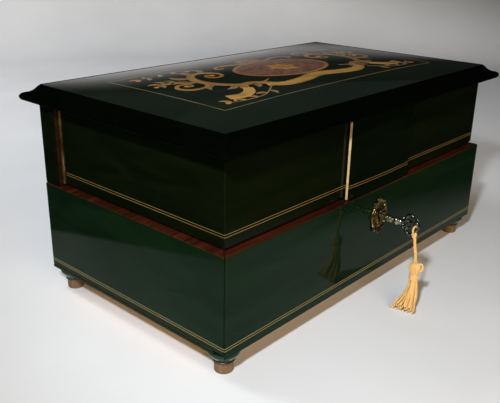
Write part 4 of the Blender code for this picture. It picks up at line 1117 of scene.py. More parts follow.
@dataclass(frozen=True)
class Studio:
    """Pale paper dish, soft lights, and the camera at the photograph's angle."""

    eye: Point = (-0.4019, -0.31175, 0.2474)
    lens: float = 48.65
    sensor: float = 36.0
    yaw: float = math.radians(48.314)
    pitch: float = math.radians(21.212)
    roll: float = math.radians(1.13)
    floor_r: float = 1.05
    wall_top: float = 0.52
    fillet: float = 0.22
    room: Colour = (0.9, 0.95, 1.0)
    room_strength: float = 0.03
    lamps: tuple[Lamp, ...] = (
        Lamp("key_light", (-0.51, -0.28, 0.477), (0.16, -0.03, 0.05), 0.025, 19.0, (0.87, 0.935, 1.0), beam=82.0),
        Lamp("side_light", (-0.50, -0.95, 0.30), (0.0, 0.0, 0.05), 0.80, 10.8, (1.0, 0.78, 0.52)),
        Lamp("back_light", (-0.35, 0.60, 0.90), (0.20, 1.20, 0.05), 0.4, 10.0, (0.97, 0.985, 1.0)))

    def build(self, paper: bpy.types.Material) -> None:
        """Make the camera, the dish, the lights and the faint light of the room.

        Args:
            paper: the dish's material.
        """
        self.camera()
        self.dish(paper)
        for lamp in self.lamps:
            lamp.hang()
        world = bpy.data.worlds.new("studio")
        world.use_nodes = True
        inputs = world.node_tree.nodes["Background"].inputs
        inputs["Color"].default_value = (*self.room, 1.0)
        inputs["Strength"].default_value = self.room_strength
        bpy.context.scene.world = world
        bpy.context.scene.view_settings.view_transform = "Standard"

    def camera(self) -> None:
        """Camera from its yaw, downward pitch and roll."""
        sin_y, cos_y = math.sin(self.yaw), math.cos(self.yaw)
        sin_p, cos_p = math.sin(self.pitch), math.cos(self.pitch)
        ahead = Vector((sin_y * cos_p, cos_y * cos_p, -sin_p))
        right = Vector((cos_y, -sin_y, 0.0))
        up = right.cross(ahead)
        level_right = right * math.cos(self.roll) + up * math.sin(self.roll)
        level_up = up * math.cos(self.roll) - right * math.sin(self.roll)
        turn = Matrix((level_right, level_up, -ahead)).transposed().to_4x4()
        data = bpy.data.cameras.new("camera")
        data.lens = self.lens
        data.sensor_width = self.sensor
        data.sensor_fit = "HORIZONTAL"
        data.clip_start = 0.01
        camera = bpy.data.objects.new("camera", data)
        camera.matrix_world = Matrix.Translation(self.eye) @ turn
        bpy.context.scene.collection.objects.link(camera)
        bpy.context.scene.camera = camera

    def dish(self, paper: bpy.types.Material) -> None:
        """Flat floor that curves up by a quarter circle into a low wall all round.

        Args:
            paper: its material.
        """
        turn = np.linspace(-math.pi / 2, 0, 16)
        bend = np.stack([self.floor_r + self.fillet * np.cos(turn), self.fillet * (1 + np.sin(turn))], axis=-1)
        flat = np.stack([np.linspace(0.002, self.floor_r, 12), np.zeros(12)], axis=-1)
        profile = np.vstack([flat, bend[1:], [[self.floor_r + self.fillet, self.wall_top]]])
        stock = MeshStock().skin(turned(profile, (0.0, 0.0, 0.0), steps=96), capped=False)
        stock.object("studio_floor", paper)


# ---- the box --------------------------------------------------------------------------------------------------


@dataclass
class FootSizes:
    """Sizes of a turned foot."""

    inset: float = 0.011
    collar_r: float = 0.0104
    collar_h: float = 0.0084
    pad_r: float = 0.0060


class BaseCase(Assembly):
    """Low base: walls, boards and four turned feet."""

    foot = FootSizes()

    def build(self) -> None:
        """Dress the boards and make the feet."""
        self.dress(Look.BASE, "case_side_left", "case_side_right", "case_back")
        self.dress(Look.BOTTOM, "case_bottom")
        self.dress(Look.MAHOGANY, "case_deck", "base_partition")
        self.dress(Look.BRASS, "arbor_bush", "lock_strike")
        self.feet()

    def places(self) -> list[Point]:
        """Middle of each foot on the floor."""
        x, y = BOX.half_w - self.foot.inset, BOX.half_d - self.foot.inset
        return [(sx * x, BOX.mid_y + sy * y, 0.0) for sx in (-1, 1) for sy in (-1, 1)]

    def feet(self) -> None:
        """Collar with a rounded cap, thin dark ring and leather-coloured pad, all turned."""
        size = self.foot
        top = BOX.foot_h - BOX.gap
        low = top - size.collar_h
        r, pad_r = size.collar_r, size.pad_r
        collar = smooth_curve([(r * 0.66, low + 0.0013), (r * 0.70, low + 0.0022), (r * 0.84, low + 0.0042),
                               (r * 0.97, low + 0.0060), (r, low + 0.0070), (r * 0.975, top)], 5)
        ring = smooth_curve([(pad_r * 0.9, low - 0.0002), (pad_r + 0.0007, low), (pad_r + 0.0012, low + 0.0007),
                             (pad_r + 0.0006, low + 0.0014), (pad_r * 0.9, low + 0.0016)], 4)
        pad = smooth_curve([(pad_r * 0.80, 0.0), (pad_r * 0.95, 0.0001), (pad_r, 0.0007), (pad_r, low * 0.6),
                            (pad_r * 0.985, low + 0.0002)], 4)
        names = ("foot_front_left", "foot_back_left", "foot_front_right", "foot_back_right")
        for label, profile, look, nodes in (("foot_collars", collar, Look.FOOT, names),
                                            ("foot_rings", ring, Look.FOOT_RING, ()), ("foot_pads", pad, Look.PAD, ())):
            stock = MeshStock()
            for place in self.places():
                stock.skin(turned(profile, place, steps=56))
            stock.piece(label, self.palette[look], "case", "green_lacquer", replaces=nodes)


def screw(place: Point, along: Along, radius: float, out: float) -> list[np.ndarray]:
    """Slotted round-head screw: two domed half discs on either side of the slot, over a round shank.

    Args:
        place: middle of the head's underside.
        along: axis of the screw.
        radius: radius of the head.
        out: +1 or -1, the way that the head faces along the axis.

    Returns:
        Grids of points of the half discs and the shank.
    """
    slot = radius * 0.14
    start = math.asin(0.16)
    grids = []
    for side in (-1, 1):
        angle = np.linspace(start, math.pi - start, 14) * side
        rim = np.stack([np.cos(angle), np.sin(angle)], axis=-1) * radius
        rows = []
        for share, level in ((1.0, 0.0), (1.0, 0.22), (0.88, 0.40), (0.6, 0.52), (0.3, 0.56)):
            ring = rim * share
            ring[:, 1] = side * np.maximum(np.abs(ring[:, 1]), slot)
            rows.append(np.column_stack([ring, np.full(len(ring), out * radius * level)]))
        grids.append(stand(np.array(rows), place, along))
    core = turned([(radius * 0.9, 0.0), (radius * 0.9, out * radius * 0.16), (radius * 0.2, out * radius * 0.17)],
                  place, along, 20)
    return grids + [core]


def felt_tray(low: Vector, high: Vector, thick: float = 0.0012, floor_t: float = 0.0016,
              crown: float = 0.0010) -> np.ndarray:
    """Felt lining: a rounded box section carried round a rectangle, with a softly crowned floor inside.

    Args:
        low: lowest corner of the tray.
        high: highest corner.
        thick: thickness of the felt.
        floor_t: thickness of the floor at its edge.
        crown: how much thicker the floor is in its middle.

    Returns:
        Grid of rings from the underside's middle, over the rim, to the middle of the floor.
    """
    half_x, half_y = (high.x - low.x) / 2, (high.y - low.y) / 2
    z0, z1 = low.z, high.z
    wall = [(0.0, z0), (0.0, z1 - 0.0004), (thick * 0.25, z1), (thick * 0.75, z1), (thick, z1 - 0.0004),
            (thick, z0 + 0.005), (thick * 1.25, z0 + 0.0032), (thick * 2.0, z0 + 0.0020), (thick * 3.2, z0 + floor_t)]
    inset, level = np.array(wall).T
    share = np.linspace(0.94, 0.02, 12)
    x, y = (np.concatenate([[half * 0.02], half - inset, (half - inset[-1]) * share]) for half in (half_x, half_y))
    z = np.concatenate([[z0], level, z0 + floor_t + crown * (1 - share ** 2)])
    radius = np.concatenate([[1e-4], np.maximum(0.0012, 0.002 - inset), 0.002 * share])
    radius = np.minimum(radius, np.minimum(x, y) * 0.9)
    middle = np.array([(low.x + high.x) / 2, (low.y + high.y) / 2 - BOX.mid_y, 0.0])
    return RoundedRing(6, 8).points(x, y, radius, z) + middle


@dataclass
class EscutcheonSizes:
    """Sizes of the key plate."""

    width: float = 0.0195
    height: float = 0.030
    thick: float = 0.0014
    hole_r: float = 0.0024
    slot_half: float = 0.0012
    slot_down: float = 0.0064
    lobes: int = 8
    lobe: float = 0.055
    waist: float = 0.05
    beads: int = 24
    bead: float = 0.012
    gadroon: float = 0.20
    pin_x: float = 0.0072
    pin_z: float = 0.0062


@dataclass
class KeySizes:
    """Sizes of the key."""

    shank_r: float = 0.0017
    reach: float = 0.0175
    bow_reach: float = 0.0165
    bow_t: float = 0.0022
    cord_hole: float = 0.0019
    bit_r: float = 0.006
    end: float = -0.11255


class Drawer(Assembly):
    """Drawer in the base, with its felt, lock, key plate and key."""

    plate = EscutcheonSizes()
    key = KeySizes()

    @property
    def plate_face(self) -> float:
        """Front face of the key plate, where the key's stem comes out."""
        return BOX.front - self.plate.thick - BOX.gap

    def build(self) -> None:
        """Dress the boards and make the felt, the plate and the key."""
        self.dress(Look.BASE, "drawer_front")
        self.dress(Look.BARE, "drawer_side_left", "drawer_side_right", "drawer_back", "drawer_bottom")
        self.dress(Look.BRASS, "lock_case")
        self.dress(Look.STEEL, "lock_bolt")
        low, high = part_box("drawer_lining")
        MeshStock().skin(felt_tray(low, high)).piece("drawer_felt", self.palette[Look.FELT], "drawer", "felt",
                                                     replaces=("drawer_lining",))
        self.escutcheon()
        self.key_stem()
        self.key_bow()

    def escutcheon(self) -> None:
        """Scalloped plate in relief: rings between the key hole's outline and the lobed edge.

        The edge is an ellipse times 1 + lobe cos(8a) + waist cos(2a) with small beads of cos(24a); the relief is a
        raised lip round the hole, a sunk field with radial gadroons that swell as sin, and a rolled rim.
        """
        size = self.plate
        angle = once_round(192)
        lobe = 1 + size.lobe * np.cos(size.lobes * angle) + size.waist * np.cos(2 * angle)
        lobe = lobe + size.bead * np.cos(size.beads * angle)
        edge_x = size.width / 2 * 0.95 * lobe * np.cos(angle)
        edge_z = size.height / 2 * 0.95 * lobe * np.sin(angle)
        down = np.maximum(-np.sin(angle), 1e-6)
        slot = np.minimum(size.slot_down / down, size.slot_half / np.maximum(np.abs(np.cos(angle)), 1e-6))
        hole = np.maximum(size.hole_r, np.where(np.sin(angle) < 0, slot, 0.0))
        share = np.array([0.0, 0.0, 0.05, 0.12, 0.20, 0.30, 0.42, 0.54, 0.66, 0.76, 0.84, 0.90, 0.95, 0.985, 1.0, 1.0])
        level = np.array([0.0, 0.75, 1.0, 1.0, 0.62, 0.44, 0.42, 0.46, 0.54, 0.66, 0.86, 0.98, 0.94, 0.70, 0.45, 0.0])
        gadroon = size.gadroon * np.sin(math.pi * np.clip((share - 0.2) / 0.7, 0, 1)) ** 2
        rise = level[:, None] + gadroon[:, None] * np.cos(2 * size.lobes * angle)[None, :]
        x = hole * np.cos(angle) * (1 - share[:, None]) + edge_x * share[:, None]
        z = hole * np.sin(angle) * (1 - share[:, None]) + edge_z * share[:, None] + BOX.key_z
        back = BOX.front - BOX.gap
        y = back - size.thick * np.clip(rise, 0, 1.05)
        stock = MeshStock().skin(np.stack([x, np.broadcast_to(y, x.shape), z], axis=-1), loop=True)
        stock.piece("key_plate", self.palette[Look.OLD_BRASS], "drawer", "brass", 50, ("escutcheon",))
        pins = MeshStock()
        for sx in (-1, 1):
            for sz in (-1, 1):
                dome = [(0.0013, 0.0), (0.0013, 0.0002), (0.0011, 0.0006), (0.0006, 0.0009), (0.0002, 0.00095)]
                centre = (sx * size.pin_x, back - size.thick * 0.42, BOX.key_z + sz * size.pin_z)
                pins.skin(turned([(r, -h) for r, h in dome], centre, Along.Y, 20))
        pins.piece("key_plate_pins", self.palette[Look.BRASS], "drawer", "brass")

    def key_stem(self) -> None:
        """Turned stem with beads and a baluster, and the notched bit inside the lock."""
        size = self.key
        reach, r = size.reach, size.shank_r
        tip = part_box("key")[1].y
        beads = np.array([(1.0, 0.02), (1.0, 0.28), (1.15, 0.31), (1.62, 0.345), (1.66, 0.39), (1.60, 0.43),
                          (1.1, 0.465), (1.05, 0.49), (1.5, 0.52), (1.52, 0.56), (1.0, 0.595), (0.88, 0.63),
                          (1.2, 0.69), (1.66, 0.76), (1.74, 0.82), (1.35, 0.89), (0.95, 0.94), (1.15, 0.98),
                          (1.0, 1.03)])
        outside = np.array([0.0, self.plate_face]) + beads * np.array([r, -reach])
        shape = np.vstack([[(r * 0.7, tip), (r, tip - 0.0004)], outside])
        stock = MeshStock().skin(turned(smooth_curve(shape, 4), (0.0, 0.0, BOX.key_z), Along.Y, 40))
        for low, high, reach_down in ((-0.0034, -0.0024, 1.0), (-0.0026, -0.0014, 0.72), (-0.0016, 0.0002, 1.0)):
            stock.skin(block((-0.0008, tip + low, BOX.key_z - size.bit_r * reach_down),
                             (0.0008, tip + min(high, -0.0002), BOX.key_z - 0.0006), 0.0001))
        stock.piece("key_stem", self.palette[Look.NICKEL], "key", "nickel", replaces=("key",))

    def key_bow(self) -> None:
        """Pierced bow of cast rings: a ring is an oval section carried round a circle in the YZ plane."""
        size = self.key
        start = self.plate_face - size.reach
        middle = start - size.bow_reach / 2
        hole_y = size.end + 0.0016 + size.cord_hole
        rise = size.bow_reach * 0.26
        rings = [(hole_y, 0.0, size.cord_hole + 0.0008, 0.0008), (middle + 0.0012, rise, 0.0029, 0.0011),
                 (middle + 0.0012, -rise, 0.0029, 0.0011), (start - 0.0030, 0.0, 0.0019, 0.0010),
                 (middle + 0.0004, 0.0, 0.0019, 0.0010)]
        stock = MeshStock()
        turn = once_round(40)
        for y, z, radius, half in rings:
            path = np.stack([np.zeros_like(turn), y + radius * np.cos(turn), BOX.key_z + z + radius * np.sin(turn)],
                            axis=-1)
            section = circle(half, 12) * np.array([1.0, size.bow_t / 2 / half])
            stock.skin(swept(path, section, (1.0, 0.0, 0.0), loop=True), loop=True)
        ball = np.array([(0.0003, -0.00105), (0.0008, -0.0007), (0.00105, 0.0), (0.0008, 0.0007),
                         (0.0003, 0.00105)])
        for y, z, scale in ((-0.0042, 0.0048, 1.0), (0.0062, 0.0036, 1.0), (0.0010, 0.0078, 0.55)):
            for side in (1, -1):
                stock.skin(turned(ball * scale, (0.0, middle + y, BOX.key_z + z * side), Along.X, 16))
        stock.piece("key_bow", self.palette[Look.BOW], "key", "nickel")


@dataclass
class TasselSizes:
    """Sizes of the tassel and its doubled cord, in the same places as the part's solids."""

    cord_d: float = 0.0014
    top: float = 0.0348
    hole_y: float = -0.10905
    out: float = 0.0031
    ply_share: float = 0.80
    twist_pitch: float = 0.0032
    knot_down: float = 0.0068
    knot_turns: int = 3
    thread_r: float = 0.00060
    threads: int = 16
    neck_r: float = 0.0029
    neck_thread_r: float = 0.00056
    neck_down: float = 0.0086
    neck_h: float = 0.0040
    neck_turns: int = 4
    strands: int = 56
    strand_r: float = 0.00058
    waviness: float = 0.06
    loop_off: float = 0.0043
    loop_half: tuple[float, float] = (0.0014, 0.0030)
    loop_down: float = 0.0036
    loop_r: float = 0.00075
    heading: float = math.atan2(-0.0005, -0.0122)

    @property
    def head_y(self) -> float:
        """Place of the tassel's head, a little in front of the cord hole."""
        return self.hole_y - self.out


class Tassel(Assembly):
    """Twisted cord through the key's bow, bound head and a skirt of silk strands lying partly on the floor."""

    size = TasselSizes()

    def build(self) -> None:
        head = self.head()
        skirt = self.skirt()
        loop = self.side_loop()
        self.cord((head, skirt, loop))

    def route(self) -> np.ndarray:
        """The cord's own line, as in the part's source: up one side, over through the bow, down the other.

        Returns:
            Its points, in metres.
        """
        size = self.size
        top = BOX.key_z - Drawer.key.cord_hole + size.cord_d / 2 + BOX.gap + 0.0007
        side = Drawer.key.bow_t / 2 + size.cord_d / 2 + 3 * BOX.gap + 0.0004
        low = size.top + BOX.gap
        rise = [(0.0008, 1.0, low), (0.0008, 1.0, low + 0.0020), (0.0008, 0.85, low + 0.0070),
                (0.0008, 0.5, low + 0.0120), (0.0010, 0.1, top - 0.0066), (side - 0.0005, 0.0, top - 0.0034),
                (side - 0.0004, 0.0, top - 0.0014), (Drawer.key.bow_t / 2 - 0.0002, 0.0, top - 0.0001)]
        points = rise + [(0.0, 0.0, top)] + [(-x, share, z) for x, share, z in reversed(rise)]
        return np.array([(x, size.hole_y - size.out * share, z) for x, share, z in points])

    def cord(self, carried: tuple[bpy.types.Object, ...]) -> None:
        """Two-ply cord: a section of two overlapping rounds turned steadily as it is carried along the route.

        The section's radius is a share p + (1 - p) cos(2a) of the cord's, and a knot is wound round both runs.

        Args:
            carried: the pieces that hang on the cord; not used.
        """
        size = self.size
        path = even_steps(smooth_curve(self.route(), 12), 150)
        length = float(np.linalg.norm(np.diff(path, axis=0), axis=1).sum())
        angle = once_round(16)
        radius = size.cord_d / 2 * (size.ply_share + (1 - size.ply_share) * np.cos(2 * angle))
        section = np.stack([radius * np.cos(angle), radius * np.sin(angle)], axis=-1)
        twist = np.linspace(0, length / size.twist_pitch * math.pi, len(path))
        stock = MeshStock().skin(swept(path, section, (0.0, 1.0, 0.0), twist=twist))
        turns = np.linspace(0, size.knot_turns * TAU, 110)
        reach = size.cord_d * (1.05 + 0.22 * np.sin(turns * 0.5))
        knot = np.stack([reach * np.cos(turns), size.hole_y + reach * np.sin(turns) * 0.8,
                         BOX.key_z - size.knot_down + 0.0013 * np.cos(turns / 3)], axis=-1)
        stock.skin(swept(knot, circle(size.cord_d * 0.42, 10), (0.0, 0.0, 1.0)))
        made = stock.piece("tassel_loop_cord", self.palette[Look.CORD], "drawer", "cotton", 60, ("tassel_cord",))
        tuple(path[0])

    def head(self) -> bpy.types.Object:
        """Bound head: coarse threads over a turned ball, a groove, and a neck band of wound turns.

        Returns:
            The head.
        """
        size = self.size
        shape = smooth_curve([(0.0011, 0.0), (0.0024, -0.0005), (0.0034, -0.0018), (0.0037, -0.0040),
                              (0.0034, -0.0060), (0.0028, -0.0074), (0.0024, -0.0082)], 5)
        stock = MeshStock()
        stock.skin(turned(shape * np.array([0.86, 1.0]), (0.0, size.head_y, size.top), steps=64))
        for angle in once_round(size.threads):
            radius = shape[:, 0] * 0.90
            around = angle + np.linspace(0, 0.25, len(shape))
            path = np.stack([radius * np.cos(around), size.head_y + radius * np.sin(around),
                             size.top + shape[:, 1]], axis=-1)
            stock.skin(swept(path, circle(size.thread_r, 8), (-math.sin(angle), math.cos(angle), 0.0)))
        turns = np.linspace(0, size.neck_turns * TAU, 150)
        neck = np.stack([size.neck_r * np.cos(turns), size.head_y + size.neck_r * np.sin(turns),
                         size.top - size.neck_down - size.neck_h * turns / turns[-1]], axis=-1)
        stock.skin(swept(neck, circle(size.neck_thread_r, 8), (0.0, 0.0, 1.0)))
        core = [(0.0018, -0.0076), (0.0027, -0.0084), (0.0027, -0.0128), (0.0022, -0.0136)]
        stock.skin(turned(core, (0.0, size.head_y, size.top), steps=32))
        return stock.piece("tassel_head", self.palette[Look.SILK], "drawer", "cotton", 60, ("tassel",))

    def skirt(self) -> bpy.types.Object:
        """Skirt of strands: each strand keeps its place in the bundle while the bundle leans over, widens and
        flattens on the floor; a little waviness, seeded, sets the strands apart.

        Each section holds the middle's x and y, its z, the bundle's two half widths and its tilt in degrees.

        Returns:
            The skirt.
        """
        size = self.size
        rng = np.random.default_rng(11)
        sections = np.array([
            (0, 0, size.top - 0.0122, 0.0026, 0.0026, 2), (0, 0, size.top - 0.0150, 0.0031, 0.0030, 4),
            (-0.0008, 0.0, 0.0150, 0.0040, 0.0036, 8), (-0.0028, 0.0, 0.0105, 0.0054, 0.0038, 20),
            (-0.0060, -0.0001, 0.0070, 0.0068, 0.0038, 40), (-0.0095, -0.0003, 0.0047, 0.0081, 0.0032, 62),
            (-0.0122, -0.0005, 0.0034, 0.0091, 0.0024, 80)])
        line = smooth_curve(sections, 5)
        turn = rng.uniform(0, TAU, size.strands)
        share = np.sqrt(rng.uniform(0.05, 1.0, size.strands))
        tilt = np.radians(line[:, 5])
        out = np.stack([math.cos(size.heading) * np.cos(tilt), math.sin(size.heading) * np.cos(tilt), np.sin(tilt)],
                       axis=-1)
        across = np.array([-math.sin(size.heading), math.cos(size.heading), 0.0])
        centre = line[:, :3] + np.array([0.0, size.head_y, 0.0])
        stock = MeshStock()
        for number in range(size.strands):
            wave = size.waviness * np.sin(np.linspace(0, 7, len(line)) + turn[number] * 3)
            reach = share[number] + wave
            a, b = reach * math.cos(turn[number]), reach * math.sin(turn[number])
            path = centre + across * (line[:, 3:4] * a[:, None]) + out * (line[:, 4:5] * b[:, None])
            ends = len(path) - int(rng.integers(0, 4))
            path = path[:ends]
            path[:, 2] = np.maximum(path[:, 2], size.strand_r * 1.2)
            stock.skin(swept(path, circle(size.strand_r, 7), (1.0, 0.3, 0.15), size=np.linspace(1.0, 0.9, ends)))
        stray = smooth_curve([(-0.0030, 0.0010, 0.0130), (-0.0074, 0.0035, 0.0070), (-0.0108, 0.0064, 0.0028),
                              (-0.0122, 0.0084, 0.0008), (-0.0118, 0.0104, 0.0007)], 6)
        stock.skin(swept(stray + np.array([0.0, size.head_y, 0.0]), circle(size.strand_r, 7), (1.0, 0.3, 0.15)))
        return stock.piece("tassel_skirt", self.palette[Look.SILK], "drawer", "cotton", 60)

    def side_loop(self) -> bpy.types.Object:
        """Small thick loop of cord that stands off the head's right side, as a closed path of a round section.

        Returns:
            The loop.
        """
        size = self.size
        turn = once_round(36)
        half_out, half_z = size.loop_half
        off = size.loop_off + half_out * np.cos(turn)
        z = size.top - size.loop_down + half_z * np.sin(turn)
        path = np.stack([0.66 * off, size.head_y - 0.75 * off, z], axis=-1)
        stock = MeshStock().skin(swept(path, circle(size.loop_r, 10), (0.75, 0.66, 0.0), loop=True), loop=True)
        return stock.piece("tassel_side_loop", self.palette[Look.SILK], "drawer", "cotton", 60)


class UpperCase(Assembly):
    """Upper section: back wall, middle panel, wings, the well and the hinges."""

    def build(self) -> None:
        """Dress the boards and hinges, and make the soft linings."""
        self.dress(Look.UPPER, "wing_left", "wing_right")
        self.dress(Look.REAR, "upper_back")
        self.dress(Look.PANEL, "centre_panel")
        self.dress(Look.LIPPING, "panel_lipping_left", "panel_lipping_right")
        self.dress(Look.MAHOGANY, "well_walls", "well_divider", "wing_left_compartment", "wing_right_compartment")
        for side in ("left", "right"):
            self.dress(Look.HINGE, *(f"wing_{side}_hinge_{part}" for part in ("fixed", "moving", "pin")))
            low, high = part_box(f"wing_{side}_lining")
            stock = MeshStock().skin(felt_tray(low, high))
            stock.piece(f"wing_{side}_felt", self.palette[Look.FELT], f"wing_{side}", "felt",
                        replaces=(f"wing_{side}_lining",))
        self.dress(Look.BRASS, "lid_hinge_fixed", "lid_hinge_moving", "lid_hinge_pin")
        self.ring_rolls()

    def ring_rolls(self) -> None:
        """Velvet ring rolls: ovals carried along X, drawn in at both ends, over a flat pad."""
        low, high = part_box("ring_cushion")
        count, steps, rise = 5, 40, 0.0085
        pitch = (high.y - low.y) / count
        x = np.linspace(low.x, high.x, steps)
        share = np.abs(np.linspace(-1, 1, steps))
        size = np.maximum((1 - share ** 14) ** 0.35, 0.4)
        stock = MeshStock()
        for number in range(count):
            y = low.y + (number + 0.5) * pitch
            path = np.stack([x, np.full(steps, y), np.full(steps, high.z - rise)], axis=-1)
            section = circle(pitch / 2 - 0.0001, 28, rise / (pitch / 2))
            stock.skin(swept(path, section, (0.0, 0.0, 1.0), size=size))
        stock.skin(block(low, (high.x, high.y, high.z - rise), 0.001))
        made = stock.piece("ring_rolls", self.palette[Look.VELVET], "case", "felt", 60, ("ring_cushion",))


@dataclass
class LidSizes:
    """Sizes of the lid, whose middle lies behind the box's middle."""

    half_w: float = 0.1675
    half_d: float = 0.0993
    behind: float = 0.0028
    width: float = 0.0115
    corner: float = 0.0012
    rebate: float = 0.003
    rebate_in: float = 0.019
    lip_in: float = 0.022
    lip_t: float = 0.002
    rebate_corner: float = 0.0008
    power: float = 2.4
    string_x: float = 0.1230
    string_y: float = 0.0558
    string_w: float = 0.0008


class Lid(Assembly):
    """Ogee moulding, crowned panel with its marquetry, mirror and backing."""

    size = LidSizes()
    ring = RoundedRing(12, 30)

    def build(self) -> None:
        """Make the moulding, the panel, the line and the marquetry; dress the mirror."""
        self.dress(Look.MIRROR, "lid_mirror")
        self.dress(Look.MAHOGANY, "lid_backing")
        self.frame()
        self.panel()
        self.string()
        Marquetry(self).build()

    def frame(self) -> None:
        """Closed moulding section carried round the lid; corners tighten from the nose to the inner edge."""
        size = self.size
        ogee = smooth_curve([(0.30, 0.0), (0.10, 0.05), (0.0, 0.2), (0.03, 0.35), (0.15, 0.46), (0.34, 0.51),
                             (0.52, 0.58), (0.68, 0.70), (0.82, 0.86), (0.92, 0.96), (0.97, 1.0)], 5)
        ogee = np.vstack([np.maximum(ogee, 0.0), [(1.0, 0.98), (1.0, 1 - size.rebate / BOX.lid_h)]])
        outer = self.ring.points(size.half_w - ogee[:, 0] * size.width, size.half_d - ogee[:, 0] * size.width,
                                 size.corner * (2 - ogee[:, 0]), BOX.lid_z + ogee[:, 1] * BOX.lid_h, size.behind)
        inset = np.array([size.rebate_in, size.rebate_in, size.lip_in, size.lip_in])
        level = BOX.lid_z + np.array([BOX.lid_h - size.rebate, size.lip_t, size.lip_t, 0.0])
        inner = self.ring.points(BOX.half_w - inset, BOX.half_d - inset, size.rebate_corner, level)
        MeshStock().skin(np.concatenate([outer, inner]), loop=True).piece(
            "lid_moulding", self.palette[Look.LID_FRAME], "lid", "black_lacquer", 40, ("lid_frame",))

    def dome(self, x: np.ndarray, y: np.ndarray) -> np.ndarray:
        """Level of the crowned panel: crown times (1 - |x/a|^p) times (1 - |y/b|^p), over its rim.

        Args:
            x: places across the lid.
            y: places from front to back.

        Returns:
            The levels.
        """
        a, b = self.size.half_w - self.size.width, self.size.half_d - self.size.width
        fall_x = 1 - np.clip(np.abs(x) / a, 0, 1) ** self.size.power
        fall_y = 1 - np.clip(np.abs(y - BOX.mid_y - self.size.behind) / b, 0, 1) ** self.size.power
        return BOX.lid_top - 0.0002 + BOX.crown * fall_x * fall_y

    def panel(self) -> None:
        """Crowned panel: rings from the underside over the edge to the middle, lifted to the dome."""
        size = self.size
        half_x = size.half_w - size.width - BOX.gap
        half_y = size.half_d - size.width - BOX.gap
        share = np.concatenate([[0.02, 1.0, 1.0], 1 - 0.985 * np.linspace(0, 1, 34)[1:] ** 1.6])
        radius = np.maximum((size.corner - BOX.gap) * share, 1e-5)
        points = self.ring.points(half_x * share, half_y * share, radius, np.zeros_like(share), size.behind)
        level = self.dome(points[..., 0], points[..., 1])
        level[:2] = BOX.lid_top - size.rebate + BOX.gap
        points[..., 2] = level
        MeshStock().skin(points).piece("lid_crown", self.palette[Look.LID_TOP], "lid", "green_lacquer", 30,
                                       ("lid_panel",))

    def inlay(self, path: np.ndarray, width: np.ndarray | float, lift: float, columns: int = 8,
              loop: bool = False) -> np.ndarray:
        """Veneer strip let into the crown: a path in the plane with a width across it, laid on the dome.

        Args:
            path: (x, y) points from the lid's middle, in metres.
            width: full width at each point.
            lift: how far its face stands over the lacquer.
            columns: points across the strip.
            loop: whether the path is closed.

        Returns:
            Grid of points; the first and last column lie under the surface and close the strip.
        """
        way = headings(path, loop)
        side = np.stack([-way[:, 1], way[:, 0]], axis=-1)
        across = np.concatenate([[-1.0], np.linspace(-1, 1, columns), [1.0]])
        half = np.broadcast_to(np.asarray(width, float) / 2, len(path))
        flat = path[:, None] + side[:, None] * (across[None, :, None] * half[:, None, None])
        x, y = flat[..., 0], flat[..., 1] + BOX.mid_y + self.size.behind
        z = self.dome(x, y) + lift
        z[:, [0, -1]] -= lift + 0.0003
        return np.stack([x, y, z], axis=-1)

    def string(self) -> None:
        """Thin gold line: a closed rectangle with sharp corners, read often enough to follow the dome."""
        size = self.size
        x, y = size.string_x, size.string_y
        corners = np.array([(x, -y), (x, y), (-x, y), (-x, -y)])
        share = np.linspace(0, 1, 40, endpoint=False)[:, None]
        sides = [corners[i] * (1 - share) + corners[(i + 1) % 4] * share for i in range(4)]
        stock = MeshStock().skin(self.inlay(np.vstack(sides), size.string_w, Layer.STRING.value, 3, True), loop=True)
        stock.piece("lid_string", self.palette[Look.STRING], "lid", "green_lacquer")


class Layer(Enum):
    """How far each layer of veneer stands over the lacquer, in metres."""

    STRING = 0.00004
    LEAF = 0.00006
    SCROLL = 0.00008
    RIBBON = 0.00010
    MEDAL = 0.00012
    DETAIL = 0.00014


